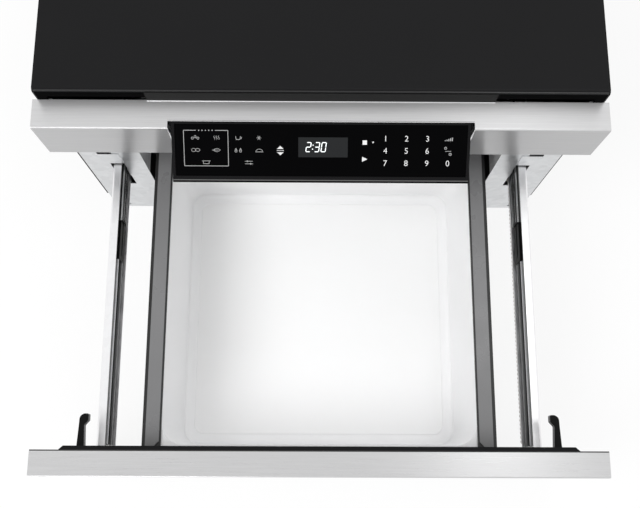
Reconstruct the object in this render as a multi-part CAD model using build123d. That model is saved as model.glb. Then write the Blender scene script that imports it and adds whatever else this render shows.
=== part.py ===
from build123d import *
import math
import os

# Built-in drawer microwave, drawn with its drawer and its control panel open.
# Millimetres. X to the right, Y to the back, Z up. The origin is the centre of the
# footprint of the open appliance, on the surface that its feet stand on.

# ---------------------------------------------------------------- driving dimensions

# Drawer front and the strip above it
front_width = 759.0
door_height = 297.5
door_depth = 34.4
door_lift = 4.0
door_bezel_gap = 10.5
bezel_height = 92.0
bezel_depth = 40.0
bezel_stand = 16.5
bezel_cut_half = 201.0
bezel_top_cut = 11.0
rear_flange_half = 229.0
rear_flange_height = 25.0

# Case and chassis
case_width = 746.0
case_depth = 555.0
case_rise = 28.0
case_edge_radius = 6.0
case_return = 14.0
foot_height = 3.0
foot_radius = 16.0
plate_width = 708.0
plate_stand = 23.5
sheet = 1.2
bend = 1.5
thick_sheet = 1.6

# Drawer
travel = 416.0
door_gap = 1.9
inner_plate_depth = 5.2
inner_plate_half = 342.0
inner_plate_bevel = 6.0
frame_show = 1.6
tub_half = 219.0
tub_length = 430.0
tub_depth = 181.0
tub_wall = 3.0
tub_corner = 30.0
tub_floor_radius = 16.0
tub_draft = 1.5
rim_drop = 61.5
tray_lip = 1.5
tray_thickness = 4.0
flange_width = 19.0
flange_outer_trim = 4.5
flange_inner_trim = 2.5
flange_thickness = 2.5

# Slides and the channels that carry their moving members
rail_x = 300.0
slide_thickness = 12.7
slide_height = 45.0
slide_drop = 61.5
slide_sheet = 1.2
outer_member_length = 460.0
middle_member_length = 335.0
inner_member_length = 470.0
outer_setback = 10.0
middle_setback = 337.0
inner_setback = 4.4
ball_radius = 2.0
race_clearance = 0.1
race_gap = 3.6
balls_per_row = 4
web_clear = 0.4
cage_sheet = 0.5
cage_bend = 0.4
cage_end = 8.0
cage_window = 6.0
outer_cage_length = 190.0
inner_cage_length = 170.0
inner_cage_lead = 60.0
channel_height = 71.0
channel_width = 12.0
channel_rise = 21.0

# Mouth, cavity and slots
cavity_half = 264.0
cavity_depth = 460.0
cavity_floor_gap = 7.0
cavity_roof_rise = 30.0
slot_margin = 4.0
slot_drop = 23.4
slot_inner_margin = 2.0
guide_thickness = 1.0
guide_reach = 11.0

# Latch hooks and interlock switches
hook_x = 320.0
hook_length = 43.0
hook_height = 10.0
hook_drop = 26.0
hook_tenon_depth = 3.5
plunger_radius = 2.5
plunger_length = 9.0
plunger_travel = 3.0
plunger_clearance = 0.3

# Control panel
panel_half = 197.0
panel_height = 79.0
panel_depth = 16.0
panel_tilt = 60.0
panel_barrel = 6.0
panel_lip = 9.0
panel_wall = 2.0
panel_side_wall = 14.0
panel_top_gap = 8.2
glass_thickness = 2.0
hinge_pin_radius = 2.0

# Gears
tooth_angle = 20.0
backlash = 0.25
drive_module = 2.0
pinion_teeth = 16
pinion_width = 10.0
rack_height = 10.0
panel_module = 1.0
sector_teeth = 52
panel_gear_teeth = 20
sector_width = 6.0
sector_direction = -60.0
drive_shaft_radius = 4.0
drive_clearance = 2.0
drive_motor_radius = 16.0
drive_motor_length = 52.0
gearbox_width = 20.0
gearbox_length = 60.0
gearbox_wall = 6.0

# Works above and behind the cavity
waveguide_half = 45.0
waveguide_height = 40.0
waveguide_length = 190.0
stirrer_radius = 62.0
fan_radius = 56.0
fan_blades = 7
fan_z = 345.0
magnetron_size = 84.0
core_width = 106.0
core_depth = 66.0
core_height = 90.0
shaft_radius = 3.0
screw_radius = 2.0
screw_hole_radius = 2.1
screw_grip = 5.0
running_clearance = 0.05
seat_gap = 0.2

# Cabinet screws through the front plate
cabinet_hole_radius = 3.0
cabinet_hole_half = 330.0
cabinet_hole_low = 16.0
cabinet_hole_high = 292.0

# Works over and behind the cavity
stirrer_share = 0.55
magnetron_reach = 120.0
magnetron_depth = 72.0
magnetron_height = 72.0
magnetron_fins = 7
ring_radius = 29.0
ring_height = 13.0
filter_box_side = 60.0
filter_box_height = 27.0
antenna_radius = 9.0
antenna_length = 26.0
capacitor_width = 54.0
capacitor_depth = 34.0
capacitor_height = 95.0
capacitor_x = -200.0
capacitor_stand = 48.0
clamp_low = 30.0
clamp_height = 14.0
clamp_sheet = 1.0
tab_height = 11.0
core_x = 140.0
core_stand = 16.0
lamp_x = 190.0
lamp_reach = 300.0
lamp_height = 34.0
lamp_radius = 17.0
bulb_radius = 8.0
board_width = 140.0
board_depth = 100.0
board_x = -250.0
board_reach = 150.0
board_stand = 10.0
board_sheet = 1.6
post_radius = 3.0

# Cord gland in the back cover
gland_x = 320.0
gland_z = 60.0
gland_radius = 9.0

# -------------------------------------------------------------------- worked-out places

open_depth = case_depth + plate_stand + door_gap + travel + inner_plate_depth + door_depth
case_back = open_depth / 2
case_front = case_back - case_depth
plate_front = case_front - plate_stand
plate_back = plate_front + sheet
bezel_front = plate_front - bezel_stand
bezel_back = bezel_front + bezel_depth
drawer_face = plate_front - door_gap - travel
door_back = drawer_face - inner_plate_depth
door_front = door_back - door_depth

door_top = door_lift + door_height
bezel_bottom = door_top + door_bezel_gap
bezel_top = bezel_bottom + bezel_height
case_top = bezel_top + case_rise
rim_z = door_top - rim_drop
floor_z = rim_z - tub_depth
slide_z = rim_z - slide_drop
channel_top = slide_z + slide_height / 2 + channel_rise
channel_low = channel_top - channel_height
case_half = case_width / 2
plate_half = plate_width / 2
front_half = front_width / 2

tub_bottom = floor_z - tray_thickness - tub_wall
flange_edge = tub_half + flange_inner_trim + flange_width + flange_outer_trim
tub_back = drawer_face + tub_length
cavity_floor = tub_bottom - cavity_floor_gap
cavity_roof = rim_z + cavity_roof_rise
cavity_back = plate_back + cavity_depth
works_z = cavity_roof + sheet

slide_back = rail_x + channel_width - thick_sheet
slide_x = slide_back - slide_thickness
slot_x = (slide_x - slot_inner_margin, rail_x + channel_width + slot_margin)
slot_z = (channel_low - slot_drop, channel_top + slot_margin)
hook_z = door_top - hook_drop - hook_height
hinge_y = plate_front - 4.5
hinge_z = bezel_top - panel_top_gap
panel_face = hinge_y - panel_barrel
panel_low = hinge_z - panel_height

stirrer_y = cavity_back - cavity_depth * stirrer_share
magnetron_y = stirrer_y + magnetron_reach
lamp_y = plate_back + lamp_reach
fan_y = case_back - 46.0
pinion_y = plate_back + 26.0


# ------------------------------------------------------------------------------ helpers


def block(x, y, z):
    """Box between the (low, high) pairs x, y and z."""
    centre = [(low + high) / 2 for low, high in (x, y, z)]
    return Pos(*centre) * Box(x[1] - x[0], y[1] - y[0], z[1] - z[0])


def rod_x(x, y, z, radius):
    """Round bar along X between the pair x."""
    return Pos((x[0] + x[1]) / 2, y, z) * Rot(0, 90, 0) * Cylinder(radius, x[1] - x[0])


def rod_y(x, y, z, radius):
    """Round bar along Y between the pair y."""
    return Pos(x, (y[0] + y[1]) / 2, z) * Rot(90, 0, 0) * Cylinder(radius, y[1] - y[0])


def rod_z(x, y, z, radius):
    """Round bar along Z between the pair z."""
    return Pos(x, y, (z[0] + z[1]) / 2) * Cylinder(radius, z[1] - z[0])


def outline(points, radii=0):
    """Face inside a closed line through 3-D points, each corner rounded by its radius."""
    return make_face(FilletPolyline(*points, radius=radii, close=True))


def along_x(points, x, radii=0):
    """Outline of (y, z) points drawn out along X."""
    face = outline([(x[0], y, z) for y, z in points], radii)
    return extrude(face, amount=x[1] - x[0], dir=(1, 0, 0))


def along_y(points, y, radii=0):
    """Outline of (x, z) points drawn out along Y."""
    face = outline([(x, y[0], z) for x, z in points], radii)
    return extrude(face, amount=y[1] - y[0], dir=(0, 1, 0))


def along_z(points, z, radii=0):
    """Outline of (x, y) points drawn out along Z."""
    face = outline([(x, y, z[0]) for x, y in points], radii)
    return extrude(face, amount=z[1] - z[0], dir=(0, 0, 1))


def folded(path, thickness, inside_radius=bend):
    """Outline and corner radii of a sheet bent along path, with its thickness to the left."""
    steps = [(b[0] - a[0], b[1] - a[1]) for a, b in zip(path, path[1:])]
    normals = [(-dy / math.hypot(dx, dy), dx / math.hypot(dx, dy)) for dx, dy in steps]
    before = [normals[0]] + normals
    after = normals + [normals[-1]]
    inner, radii_path, radii_inner = [], [], []
    for (x, y), (ax, ay), (bx, by) in zip(path, before, after):
        scale = thickness / (1 + ax * bx + ay * by)
        inner.append((x + (ax + bx) * scale, y + (ay + by) * scale))
        turn = ax * by - ay * bx
        radii_path.append(0 if abs(turn) < 1e-9 else inside_radius + thickness * (turn > 0))
        radii_inner.append(0 if abs(turn) < 1e-9 else inside_radius + thickness * (turn < 0))
    return list(path) + inner[::-1], radii_path + radii_inner[::-1]


def sheet_x(path, x, thickness=sheet, inside_radius=bend):
    points, radii = folded(path, thickness, inside_radius)
    return along_x(points, x, radii)


def sheet_y(path, y, thickness=sheet, inside_radius=bend):
    points, radii = folded(path, thickness, inside_radius)
    return along_y(points, y, radii)


def sheet_z(path, z, thickness=sheet, inside_radius=bend):
    points, radii = folded(path, thickness, inside_radius)
    return along_z(points, z, radii)


def mirrored(shape):
    """The same shape on the other side of the appliance's middle plane."""
    return mirror(shape, about=Plane.YZ)


def group(*shapes):
    """Separate solids kept together under one name."""
    return Compound([solid for shape in shapes for solid in shape.solids()])


def pair(shape):
    """A shape and its mirror image as separate solids."""
    return group(shape, mirrored(shape))


def spread(first, last, count):
    """Evenly spaced values from first to last."""
    return [first + (last - first) * i / (count - 1) for i in range(count)]


def pan_screw(x, y, z, grip, radius=screw_radius):
    """Pan-head screw whose head stands towards -Y and whose shank runs back by grip."""
    head = rod_y(x, (y - 2.2, y), z, radius * 2)
    head = fillet(head.edges().group_by(Axis.Y)[0], radius * 0.6)
    return head + rod_y(x, (y - 0.1, y + grip), z, radius)


# -------------------------------------------------------------------------------- gears


def involute(angle):
    return math.tan(angle) - angle


def tooth_flank(teeth, module):
    """(radius, half angle) pairs up one flank of a spur tooth, from root to tip."""
    pitch_radius = teeth * module / 2
    base = pitch_radius * math.cos(math.radians(tooth_angle))
    half = math.pi / (2 * teeth) - backlash / (2 * pitch_radius)
    half += involute(math.radians(tooth_angle))
    root = pitch_radius - 1.25 * module
    tip = pitch_radius + module
    start = max(base, root)
    radii = [start, (start + tip) / 2, tip]
    flank = [(r, half - involute(math.acos(min(1.0, base / r)))) for r in radii]
    return flank if start == root else [(root, flank[0][1])] + flank


def teeth_points(teeth, module, centres):
    """Outline points of spur teeth whose centre lines lie at the angles in centres."""
    flank = tooth_flank(teeth, module)
    points = []
    for centre in centres:
        points += [(r * math.cos(centre - a), r * math.sin(centre - a)) for r, a in flank]
        points += [(r * math.cos(centre + a), r * math.sin(centre + a)) for r, a in flank[::-1]]
    return points


def gear_x(teeth, module, x, y, z, phase):
    """Spur gear on an axis along X, with a tooth at the angle phase from +Y towards +Z."""
    centres = [phase + 2 * math.pi * i / teeth for i in range(teeth)]
    points = [(y + a, z + b) for a, b in teeth_points(teeth, module, centres)]
    return along_x(points, x)


def rack_points(first, last, module, pitch_z, back_z):
    """Outline, in (y, z), of a rack with teeth downwards from the tooth centre first to last."""
    pitch = math.pi * module
    lean = math.tan(math.radians(tooth_angle))
    half = pitch / 4 - backlash / 2
    root_half = half + 1.25 * module * lean
    tip_half = half - module * lean
    points = [(first - pitch / 2, back_z), (first - pitch / 2, pitch_z + 1.25 * module)]
    for i in range(round((last - first) / pitch) + 1):
        y = first + i * pitch
        points += [(y - root_half, pitch_z + 1.25 * module), (y - tip_half, pitch_z - module)]
        points += [(y + tip_half, pitch_z - module), (y + root_half, pitch_z + 1.25 * module)]
    end = first + round((last - first) / pitch) * pitch + pitch / 2
    return points + [(end, pitch_z + 1.25 * module), (end, back_z)]


# ---------------------------------------------------------------- case, front and frame


def outer_case():
    """Black folded wrapper, open below and behind, its front edges returned inwards."""
    x = (-case_half, case_half)
    y = (case_front, case_back - 1.0)
    z = (foot_height, case_top)
    outer = block(x, y, z)
    outer = fillet(outer.edges().filter_by(Axis.X).group_by(Axis.Y)[0].sort_by(Axis.Z)[-1:], case_edge_radius)
    inner = block(
        (x[0] + sheet, x[1] - sheet),
        (y[0] + sheet, y[1] + 1.0),
        (z[0] - 1.0, z[1] - sheet),
    )
    front_edge = inner.edges().filter_by(Axis.X).group_by(Axis.Y)[0].sort_by(Axis.Z)[-1:]
    inner = fillet(front_edge, case_edge_radius - sheet)
    window = block(
        (x[0] + case_return, x[1] - case_return),
        (y[0] - 1.0, y[0] + 2 * sheet),
        (z[0] - 1.0, z[1] - case_return),
    )
    case = outer - inner - window
    for row in range(3):
        for step in range(10):
            place = case_front + 330.0 + step * 16.0
            height = case_top - 110.0 - row * 26.0
            case -= block((x[0] - 1.0, x[1] + 1.0), (place, place + 4.0), (height, height + 18.0))
    return case


def base_plate():
    """Bottom pan with upturned edges and stiffening beads."""
    half = case_half - sheet - seat_gap
    y = (plate_back + bend + seat_gap, case_back - sheet - seat_gap)
    z = foot_height
    path = [(-half, z + 12.0), (-half, z), (half, z), (half, z + 12.0)]
    pan = sheet_y(path, y)
    pan += block((-half + 4.0, half - 4.0), (y[1] - sheet, y[1]), (z, z + 12.0))
    corner_y = (y[0] - 1.0, case_front + 2 * sheet + 2 * seat_gap)
    for side in (-1, 1):
        corner_x = sorted((side * (plate_half - sheet - seat_gap), side * case_half))
        pan -= block(corner_x, corner_y, (z - 1.0, z + 13.0))
    for x in spread(-half * 0.75, half * 0.75, 5):
        bead = rod_y(x, (y[0] + 40.0, y[1] - 120.0), z - 4.0 + sheet, 6.0)
        pan += bead & block((x - 9.0, x + 9.0), y, (z + sheet / 2, z + 4.0))
    return pan


def base_feet():
    """Four low glides under the base plate."""
    feet = []
    for x in (-case_half + 60.0, case_half - 60.0):
        for y in (plate_back + 45.0, case_back - 60.0):
            foot = rod_z(x, y, (0.0, foot_height), foot_radius)
            feet.append(chamfer(foot.edges().group_by(Axis.Z)[0], 1.0))
    return group(*feet)


def rear_panel():
    """Back cover with the fan's inlet slots and the hole of the cord gland."""
    half = case_half - sheet - seat_gap
    y = (case_back - sheet, case_back)
    panel = block((-half, half), y, (foot_height, case_top - sheet - seat_gap))
    for row in spread(-0.8, 0.8, 9):
        reach = math.sqrt(1.0 - row * row) * fan_radius
        z = fan_z + row * fan_radius
        panel -= block((-reach, reach), (y[0] - 1.0, y[1] + 1.0), (z - 2.5, z + 2.5))
    for side in (-1, 1):
        for step in range(8):
            x = side * (150.0 + step * 20.0)
            panel -= block((x - 2.5, x + 2.5), (y[0] - 1.0, y[1] + 1.0), (fan_z, fan_z + 50.0))
    return panel - rod_y(gland_x, (y[0] - 1.0, y[1] + 1.0), gland_z, gland_radius)


def cord_gland():
    """Moulded gland in the back cover, with the bore that the lead would pass."""
    y = (case_back - sheet, case_back)
    flange_back = rod_y(gland_x, (y[0] - 6.0, y[0]), gland_z, gland_radius + 4.0)
    neck = rod_y(gland_x, y, gland_z, gland_radius)
    bore = rod_y(gland_x, (y[0] - 7.0, y[1] + 1.0), gland_z, 5.0)
    return flange_back + neck - bore


def front_plate():
    """Galvanised chassis front: a wide hat section with the mouth, slots and holes."""
    flange = case_half - 2 * sheet - 2 * seat_gap
    back = case_front + sheet
    path = [(flange, back), (plate_half, back), (plate_half, plate_front)]
    path += [(-plate_half, plate_front), (-plate_half, back), (-flange, back)]
    z = (foot_height, bezel_top - sheet)
    plate = sheet_z(path[::-1], z)
    through = (plate_front - 1.0, plate_back + 0.5)
    plate -= block((-cavity_half, cavity_half), through, (cavity_floor, cavity_roof))
    plate -= block(
        (-panel_half - 2.0, panel_half + 2.0),
        through,
        (panel_low - 4.0, bezel_top + 1.0),
    )
    for side in (-1, 1):
        slot = sorted((side * slot_x[0], side * slot_x[1]))
        plate -= block(slot, through, slot_z)
        latch = sorted((side * (hook_x - 14.0), side * (hook_x + 7.0)))
        plate -= block(latch, through, (hook_z - 1.0, hook_z + hook_height + 1.0))
        for z_hole in (cabinet_hole_low, cabinet_hole_high):
            plate -= rod_y(side * cabinet_hole_half, through, z_hole, cabinet_hole_radius)
    return plate


def rail_guides():
    """Thin wear plates over and outside the rail slots of the front plate."""
    y = (plate_front - guide_thickness, plate_front)
    x = (slot_x[0], slot_x[1] + guide_reach)
    z = (slide_z, hook_z - 1.0)
    guide = block(x, y, z)
    guide -= block((x[0] - 1.0, slot_x[1]), (y[0] - 1.0, y[1] + 1.0), (z[0] - 1.0, slot_z[1]))
    return pair(guide)


def bezel():
    """Folded stainless strip over the drawer, notched for the panel, with a rear flange."""
    path = [(bezel_front + 15.0, bezel_bottom), (bezel_front, bezel_bottom)]
    path += [(bezel_front, bezel_top), (bezel_back, bezel_top)]
    x = (-front_half, front_half)
    strip = sheet_x(path[::-1], x)
    end = [(bezel_front + bend, bezel_bottom + sheet / 2), (bezel_front + sheet / 2, bezel_bottom + bend)]
    end += [(bezel_front + sheet / 2, bezel_top - bend), (bezel_front + bend, bezel_top - sheet / 2)]
    end += [(bezel_back, bezel_top - sheet / 2), (bezel_back, bezel_top - 30.0)]
    end += [(bezel_front + 15.0, bezel_bottom + sheet / 2)]
    for side in (-1, 1):
        span = sorted((side * front_half, side * (front_half - sheet)))
        strip += along_x(end, span)
    strip -= block(
        (-bezel_cut_half, bezel_cut_half),
        (bezel_front - 1.0, bezel_front + bezel_top_cut),
        (bezel_bottom - 1.0, bezel_top + 1.0),
    )
    strip -= block(
        (-bezel_cut_half, bezel_cut_half),
        (bezel_front - 1.0, plate_front - 1.0),
        (bezel_bottom - 1.0, bezel_top - 2 * sheet),
    )
    flange_z = (bezel_top - sheet, bezel_top + rear_flange_height)
    strip += block((-rear_flange_half, rear_flange_half), (bezel_back - sheet, bezel_back), flange_z)
    return strip


# ----------------------------------------------------------------- cavity and microwave


def cavity_shell():
    """Enamelled steel cavity behind the mouth, with holes for stirrer and lamp."""
    outer = block(
        (-cavity_half - sheet, cavity_half + sheet),
        (plate_back, cavity_back),
        (cavity_floor - sheet, cavity_roof + sheet),
    )
    inner = block(
        (-cavity_half, cavity_half),
        (plate_back - 1.0, cavity_back - sheet),
        (cavity_floor, cavity_roof),
    )
    shell = outer - inner
    roof = (cavity_roof - 1.0, cavity_roof + sheet + 1.0)
    shell -= rod_z(0.0, stirrer_y, roof, 20.0)
    shell -= rod_z(lamp_x, lamp_y, roof, 14.0)
    for x in spread(-180.0, -120.0, 7):
        for y in spread(cavity_back - 60.0, cavity_back - 20.0, 5):
            shell -= rod_z(x, y, roof, 1.8)
    return shell


def stirrer_cover():
    """Flat moulded cover under the cavity roof, held by four clips."""
    z = (cavity_roof - 24.0, cavity_roof - 22.0)
    reach = stirrer_radius + 14.0
    corners = [(-reach, -reach), (reach, -reach), (reach, reach), (-reach, reach)]
    plate = along_z([(x, stirrer_y + y) for x, y in corners], z, [24.0] * 4)
    rim = along_z([(x, stirrer_y + y) for x, y in corners], (z[0], z[1] + 4.0), [24.0] * 4)
    inner = [(x * 0.95, stirrer_y + y * 0.95) for x, y in corners]
    cover = plate + (rim - along_z(inner, (z[0] - 1.0, z[1] + 5.0), [22.0] * 4))
    for x, y in corners:
        cover += rod_z(x * 0.86, stirrer_y + y * 0.86, (z[0], cavity_roof), 4.0)
    return cover


def stirrer():
    """Stirrer fan: a hub with pitched sheet blades under the waveguide's mouth."""
    z = cavity_roof - 13.0
    hub = rod_z(0.0, stirrer_y, (z - 5.0, z + 5.0), 9.0)
    wheel = hub
    for turn in range(3):
        blade = block((6.0, stirrer_radius), (-16.0, 16.0), (-0.6, 0.6))
        blade -= block((stirrer_radius - 14.0, stirrer_radius + 1.0), (6.0, 17.0), (-1.0, 1.0))
        blade = Pos(0, stirrer_y, z) * Rot(0, 0, turn * 120.0) * Rot(14.0, 0, 0) * blade
        wheel += blade
    return wheel - rod_z(0.0, stirrer_y, (z - 3.0, z + 6.0), shaft_radius + running_clearance)


def stirrer_motor():
    """Flat geared motor on the waveguide, its shaft down through the roof."""
    top = works_z + waveguide_height
    body = rod_z(0.0, stirrer_y, (top, top + 16.0), 24.0)
    ears = block((-33.0, 33.0), (stirrer_y - 5.0, stirrer_y + 5.0), (top, top + 1.5))
    shaft = rod_z(0.0, stirrer_y, (cavity_roof - 15.0, top + 1.0), shaft_radius)
    return body + ears + shaft


def waveguide():
    """Rectangular guide on the cavity roof, from the magnetron to the stirrer."""
    y = (stirrer_y - 40.0, stirrer_y - 40.0 + waveguide_length)
    z = (works_z, works_z + waveguide_height)
    duct = block((-waveguide_half, waveguide_half), y, z)
    duct -= block(
        (-waveguide_half + sheet, waveguide_half - sheet),
        (y[0] + sheet, y[1] - sheet),
        (z[0] + sheet, z[1] - sheet),
    )
    flange = block((-waveguide_half - 12.0, waveguide_half + 12.0), y, (z[0], z[0] + sheet))
    inside = block(
        (-waveguide_half + sheet, waveguide_half - sheet),
        (y[0] + sheet, y[1] - sheet),
        (z[0] - 1.0, z[0] + 2 * sheet),
    )
    duct = duct + (flange - inside)
    duct -= rod_z(0.0, stirrer_y, (z[0] - 1.0, z[0] + 2 * sheet), 20.0)
    duct -= rod_z(0.0, stirrer_y, (z[1] - 2 * sheet, z[1] + 1.0), shaft_radius + 1.0)
    return duct - rod_z(0.0, magnetron_y, (z[1] - 2 * sheet, z[1] + 1.0), antenna_radius + 1.0)


def magnetron():
    """Magnetron: antenna, yoke, magnet rings, cooling fins and filter box."""
    low = works_z + waveguide_height
    high = low + magnetron_height
    half = magnetron_size / 2
    front, back = magnetron_y - magnetron_depth / 2, magnetron_y + magnetron_depth / 2
    yoke = block((-half, half), (front, back), (low, high))
    yoke -= block((-half + 2.0, half - 2.0), (front - 1.0, back + 1.0), (low + 2.0, high - 2.0))
    tube = rod_z(0.0, magnetron_y, (low + 1.0, high - 1.0), 20.0)
    rings = rod_z(0.0, magnetron_y, (low + 1.0, low + 1.0 + ring_height), ring_radius)
    rings += rod_z(0.0, magnetron_y, (high - 1.0 - ring_height, high - 1.0), ring_radius)
    body = yoke + tube + rings
    for z in spread(low + ring_height + 7.0, high - ring_height - 7.0, magnetron_fins):
        body += block((-half + 1.0, half - 1.0), (front + 2.0, back - 2.0), (z - 0.5, z + 0.5))
    side = filter_box_side / 2
    filter_box = block(
        (-side, side),
        (magnetron_y - side, magnetron_y + side),
        (high - 1.0, high - 1.0 + filter_box_height),
    )
    antenna = rod_z(0.0, magnetron_y, (low - antenna_length, low + 1.0), antenna_radius)
    antenna = fillet(antenna.edges().group_by(Axis.Z)[0], antenna_radius / 2)
    return body + filter_box + antenna


def transformer_core():
    """Laminated shell core with two windows, standing on welded feet."""
    x0, y0, z0 = core_place()
    core = block((x0, x0 + core_width), (y0, y0 + core_depth), (z0 + 2.0, z0 + 2.0 + core_height))
    for low, high in core_windows():
        core -= block((low, high), (y0 - 1.0, y0 + core_depth + 1.0), core_window_z())
    feet = block((x0 - 12.0, x0 + core_width + 12.0), (y0 + 8.0, y0 + core_depth - 8.0), (z0, z0 + 2.0))
    return core + feet


def core_place():
    """Lowest corner of the transformer, on the base plate behind the cavity's side."""
    return core_x, cavity_back + core_stand, foot_height + sheet


def core_windows():
    """The two windows' X spans, either side of the core's centre leg."""
    x0 = core_place()[0]
    leg = core_width / 6
    return (x0 + leg, x0 + 2 * leg), (x0 + 4 * leg, x0 + 5 * leg)


def core_window_z():
    z0 = core_place()[2]
    return z0 + 2.0 + core_width / 6, z0 + 2.0 + core_height - core_width / 6


def transformer_windings():
    """Primary and secondary coils on the core's centre leg."""
    y0 = core_place()[1]
    (left_low, left_high), (right_low, right_high) = core_windows()
    z_low, z_high = core_window_z()
    span = z_high - z_low - 2 * seat_gap
    coils = []
    for start, share in ((0.0, 0.42), (0.5, 0.5)):
        low = z_low + seat_gap + span * start
        high = low + span * share
        x = (left_low + seat_gap, right_high - seat_gap)
        y = (y0 - 14.0, y0 + core_depth + 14.0)
        outer = block(x, y, (low, high))
        outer = fillet(outer.edges().filter_by(Axis.Z), 12.0)
        leg = block(
            (left_high - seat_gap, right_low + seat_gap),
            (y0 - seat_gap, y0 + core_depth + seat_gap),
            (low - 1.0, high + 1.0),
        )
        coils.append(outer - leg)
    return group(*coils)


def capacitor_place():
    return capacitor_x, cavity_back + capacitor_stand, foot_height + sheet


def capacitor():
    """Oval high-voltage capacitor with two tab terminals."""
    x, y, z = capacitor_place()
    top = z + capacitor_height
    can = Pos(x, y, z) * extrude(SlotOverall(capacitor_width, capacitor_depth), amount=capacitor_height)
    can = fillet(can.edges().group_by(Axis.Z)[-1], 2.0)
    for step in (-0.2 * capacitor_width, 0.2 * capacitor_width):
        can += block((x + step - 0.5, x + step + 0.5), (y - 3.2, y + 3.2), (top - 1.0, top + tab_height))
    return can


def capacitor_clamp():
    """Strap round the capacitor with a foot on the base plate."""
    x, y, z = capacitor_place()
    low, high = z + clamp_low, z + clamp_low + clamp_height
    wide = capacitor_width + 2 * seat_gap
    deep = capacitor_depth + 2 * seat_gap
    band = Pos(x, y, low) * extrude(
        SlotOverall(wide + 2 * clamp_sheet, deep + 2 * clamp_sheet), amount=clamp_height
    )
    band -= Pos(x, y, low - 1.0) * extrude(SlotOverall(wide, deep), amount=clamp_height + 2.0)
    side = y - deep / 2 - clamp_sheet
    leg = block((x - 7.0, x + 7.0), (side - clamp_sheet, side + seat_gap), (z, high))
    foot = block((x - 7.0, x + 7.0), (side - 15.0, side + seat_gap), (z, z + 1.5))
    return band + leg + foot


def oven_lamp():
    """Lamp holder over the hole in the cavity roof, with its bulb."""
    top = works_z + lamp_height
    bore = lamp_radius - 1.5
    holder = rod_z(lamp_x, lamp_y, (works_z, top), lamp_radius)
    holder -= rod_z(lamp_x, lamp_y, (works_z - 1.0, top - 4.0), bore)
    ear = lamp_radius + 11.0
    foot = block((lamp_x - ear, lamp_x + ear), (lamp_y - 9.0, lamp_y + 9.0), (works_z, works_z + 2.0))
    foot -= rod_z(lamp_x, lamp_y, (works_z - 1.0, works_z + 3.0), bore)
    bulb = rod_z(lamp_x, lamp_y, (top - 22.0, top - 3.0), bulb_radius)
    bulb += Pos(lamp_x, lamp_y, top - 22.0) * Sphere(bulb_radius)
    return holder + foot + bulb


def filter_board():
    """Power and filter board on stand-offs over the cavity roof."""
    x = (board_x, board_x + board_width)
    y = (plate_back + board_reach, plate_back + board_reach + board_depth)
    z = works_z + board_stand
    board = block(x, y, (z, z + board_sheet))
    for corner_x in (x[0] + 6.0, x[1] - 6.0):
        for corner_y in (y[0] + 6.0, y[1] - 6.0):
            board += rod_z(corner_x, corner_y, (works_z, z + 0.5), post_radius)
    for step in range(3):
        left = x[0] + 14.0 + step * 24.0
        board += block((left, left + 18.0), (y[0] + 14.0, y[0] + 42.0), (z + 1.0, z + 17.0))
    coil = Pos(x[1] - 34.0, y[0] + 30.0, z + 7.0) * Torus(13.0, 6.0)
    board += coil
    board += block((x[0] + 14.0, x[0] + 54.0), (y[0] + 60.0, y[0] + 90.0), (z + 1.0, z + 26.0))
    return board + rod_x((x[0] + 70.0, x[0] + 96.0), y[0] + 76.0, z + 4.0, 3.0)


# ---------------------------------------------------------------------------------- fan


def fan_wheel():
    """Axial wheel: hub with cambered, twisted blades, its axis along Y."""
    hub = Cylinder(20.0, 22.0)
    hub = fillet(hub.edges().group_by(Axis.Z)[-1], 5.0)
    blades = []
    for turn in range(fan_blades):
        root = blade_section(19.0, 34.0, 42.0)
        tip = blade_section(fan_radius + 3.0, 40.0, 24.0)
        blades.append(Rot(0, 0, 360.0 / fan_blades * turn) * loft([root, tip], ruled=True))
    wheel = hub
    for blade in blades:
        wheel += blade
    wheel &= Cylinder(fan_radius, 60.0)
    wheel -= Pos(0, 0, -4.0) * Cylinder(shaft_radius + running_clearance, 20.0)
    return Pos(0, fan_y, fan_z) * Rot(90, 0, 0) * wheel


def blade_section(radius, chord, pitch):
    """Crescent section of a blade at a radius, turned by its pitch angle."""
    tilt = math.radians(pitch)
    along = Vector(0, math.cos(tilt), math.sin(tilt))
    plane = Plane(origin=(radius, 0, 0), x_dir=along, z_dir=(1, 0, 0))
    camber, thin, thick = 4.0, 0.5, 1.2
    a, b = (-chord / 2, thin), (chord / 2, thin)
    c, d = (chord / 2, -thin), (-chord / 2, -thin)
    upper = ThreePointArc(a, (0, camber + thick), b)
    lower = ThreePointArc(c, (0, camber - thick), d)
    return plane * make_face([upper, Line(b, c), lower, Line(d, a)])


def fan_shroud():
    """Square shroud plate with an inlet ring and four spokes to the motor seat."""
    reach = fan_radius + 12.0
    depth = (fan_y - 16.0, case_back - sheet)
    ring = rod_y(0.0, depth, fan_z, fan_radius + 4.0)
    ring -= rod_y(0.0, (depth[0] - 1.0, depth[1] + 1.0), fan_z, fan_radius + 2.0)
    square = block((-reach, reach), (depth[0], depth[0] + 2.0), (fan_z - reach, fan_z + reach))
    square = fillet(square.edges().filter_by(Axis.Y), 10.0)
    square -= rod_y(0.0, (depth[0] - 1.0, depth[0] + 3.0), fan_z, fan_radius + 3.0)
    spokes = (motor_seat_y() - 2.0, motor_seat_y())
    seat = rod_y(0.0, spokes, fan_z, 24.0)
    for turn in (45.0, 135.0):
        bar = Box(2 * fan_radius + 6.0, 2.0, 7.0)
        seat += Pos(0, sum(spokes) / 2, fan_z) * Rot(0, turn, 0) * bar
    seat -= rod_y(0.0, (spokes[0] - 1.0, spokes[1] + 1.0), fan_z, shaft_radius + 1.0)
    return ring + square + seat


def motor_seat_y():
    """Back face of the shroud's seat, which the fan motor is screwed to."""
    return fan_y + 16.0


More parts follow.
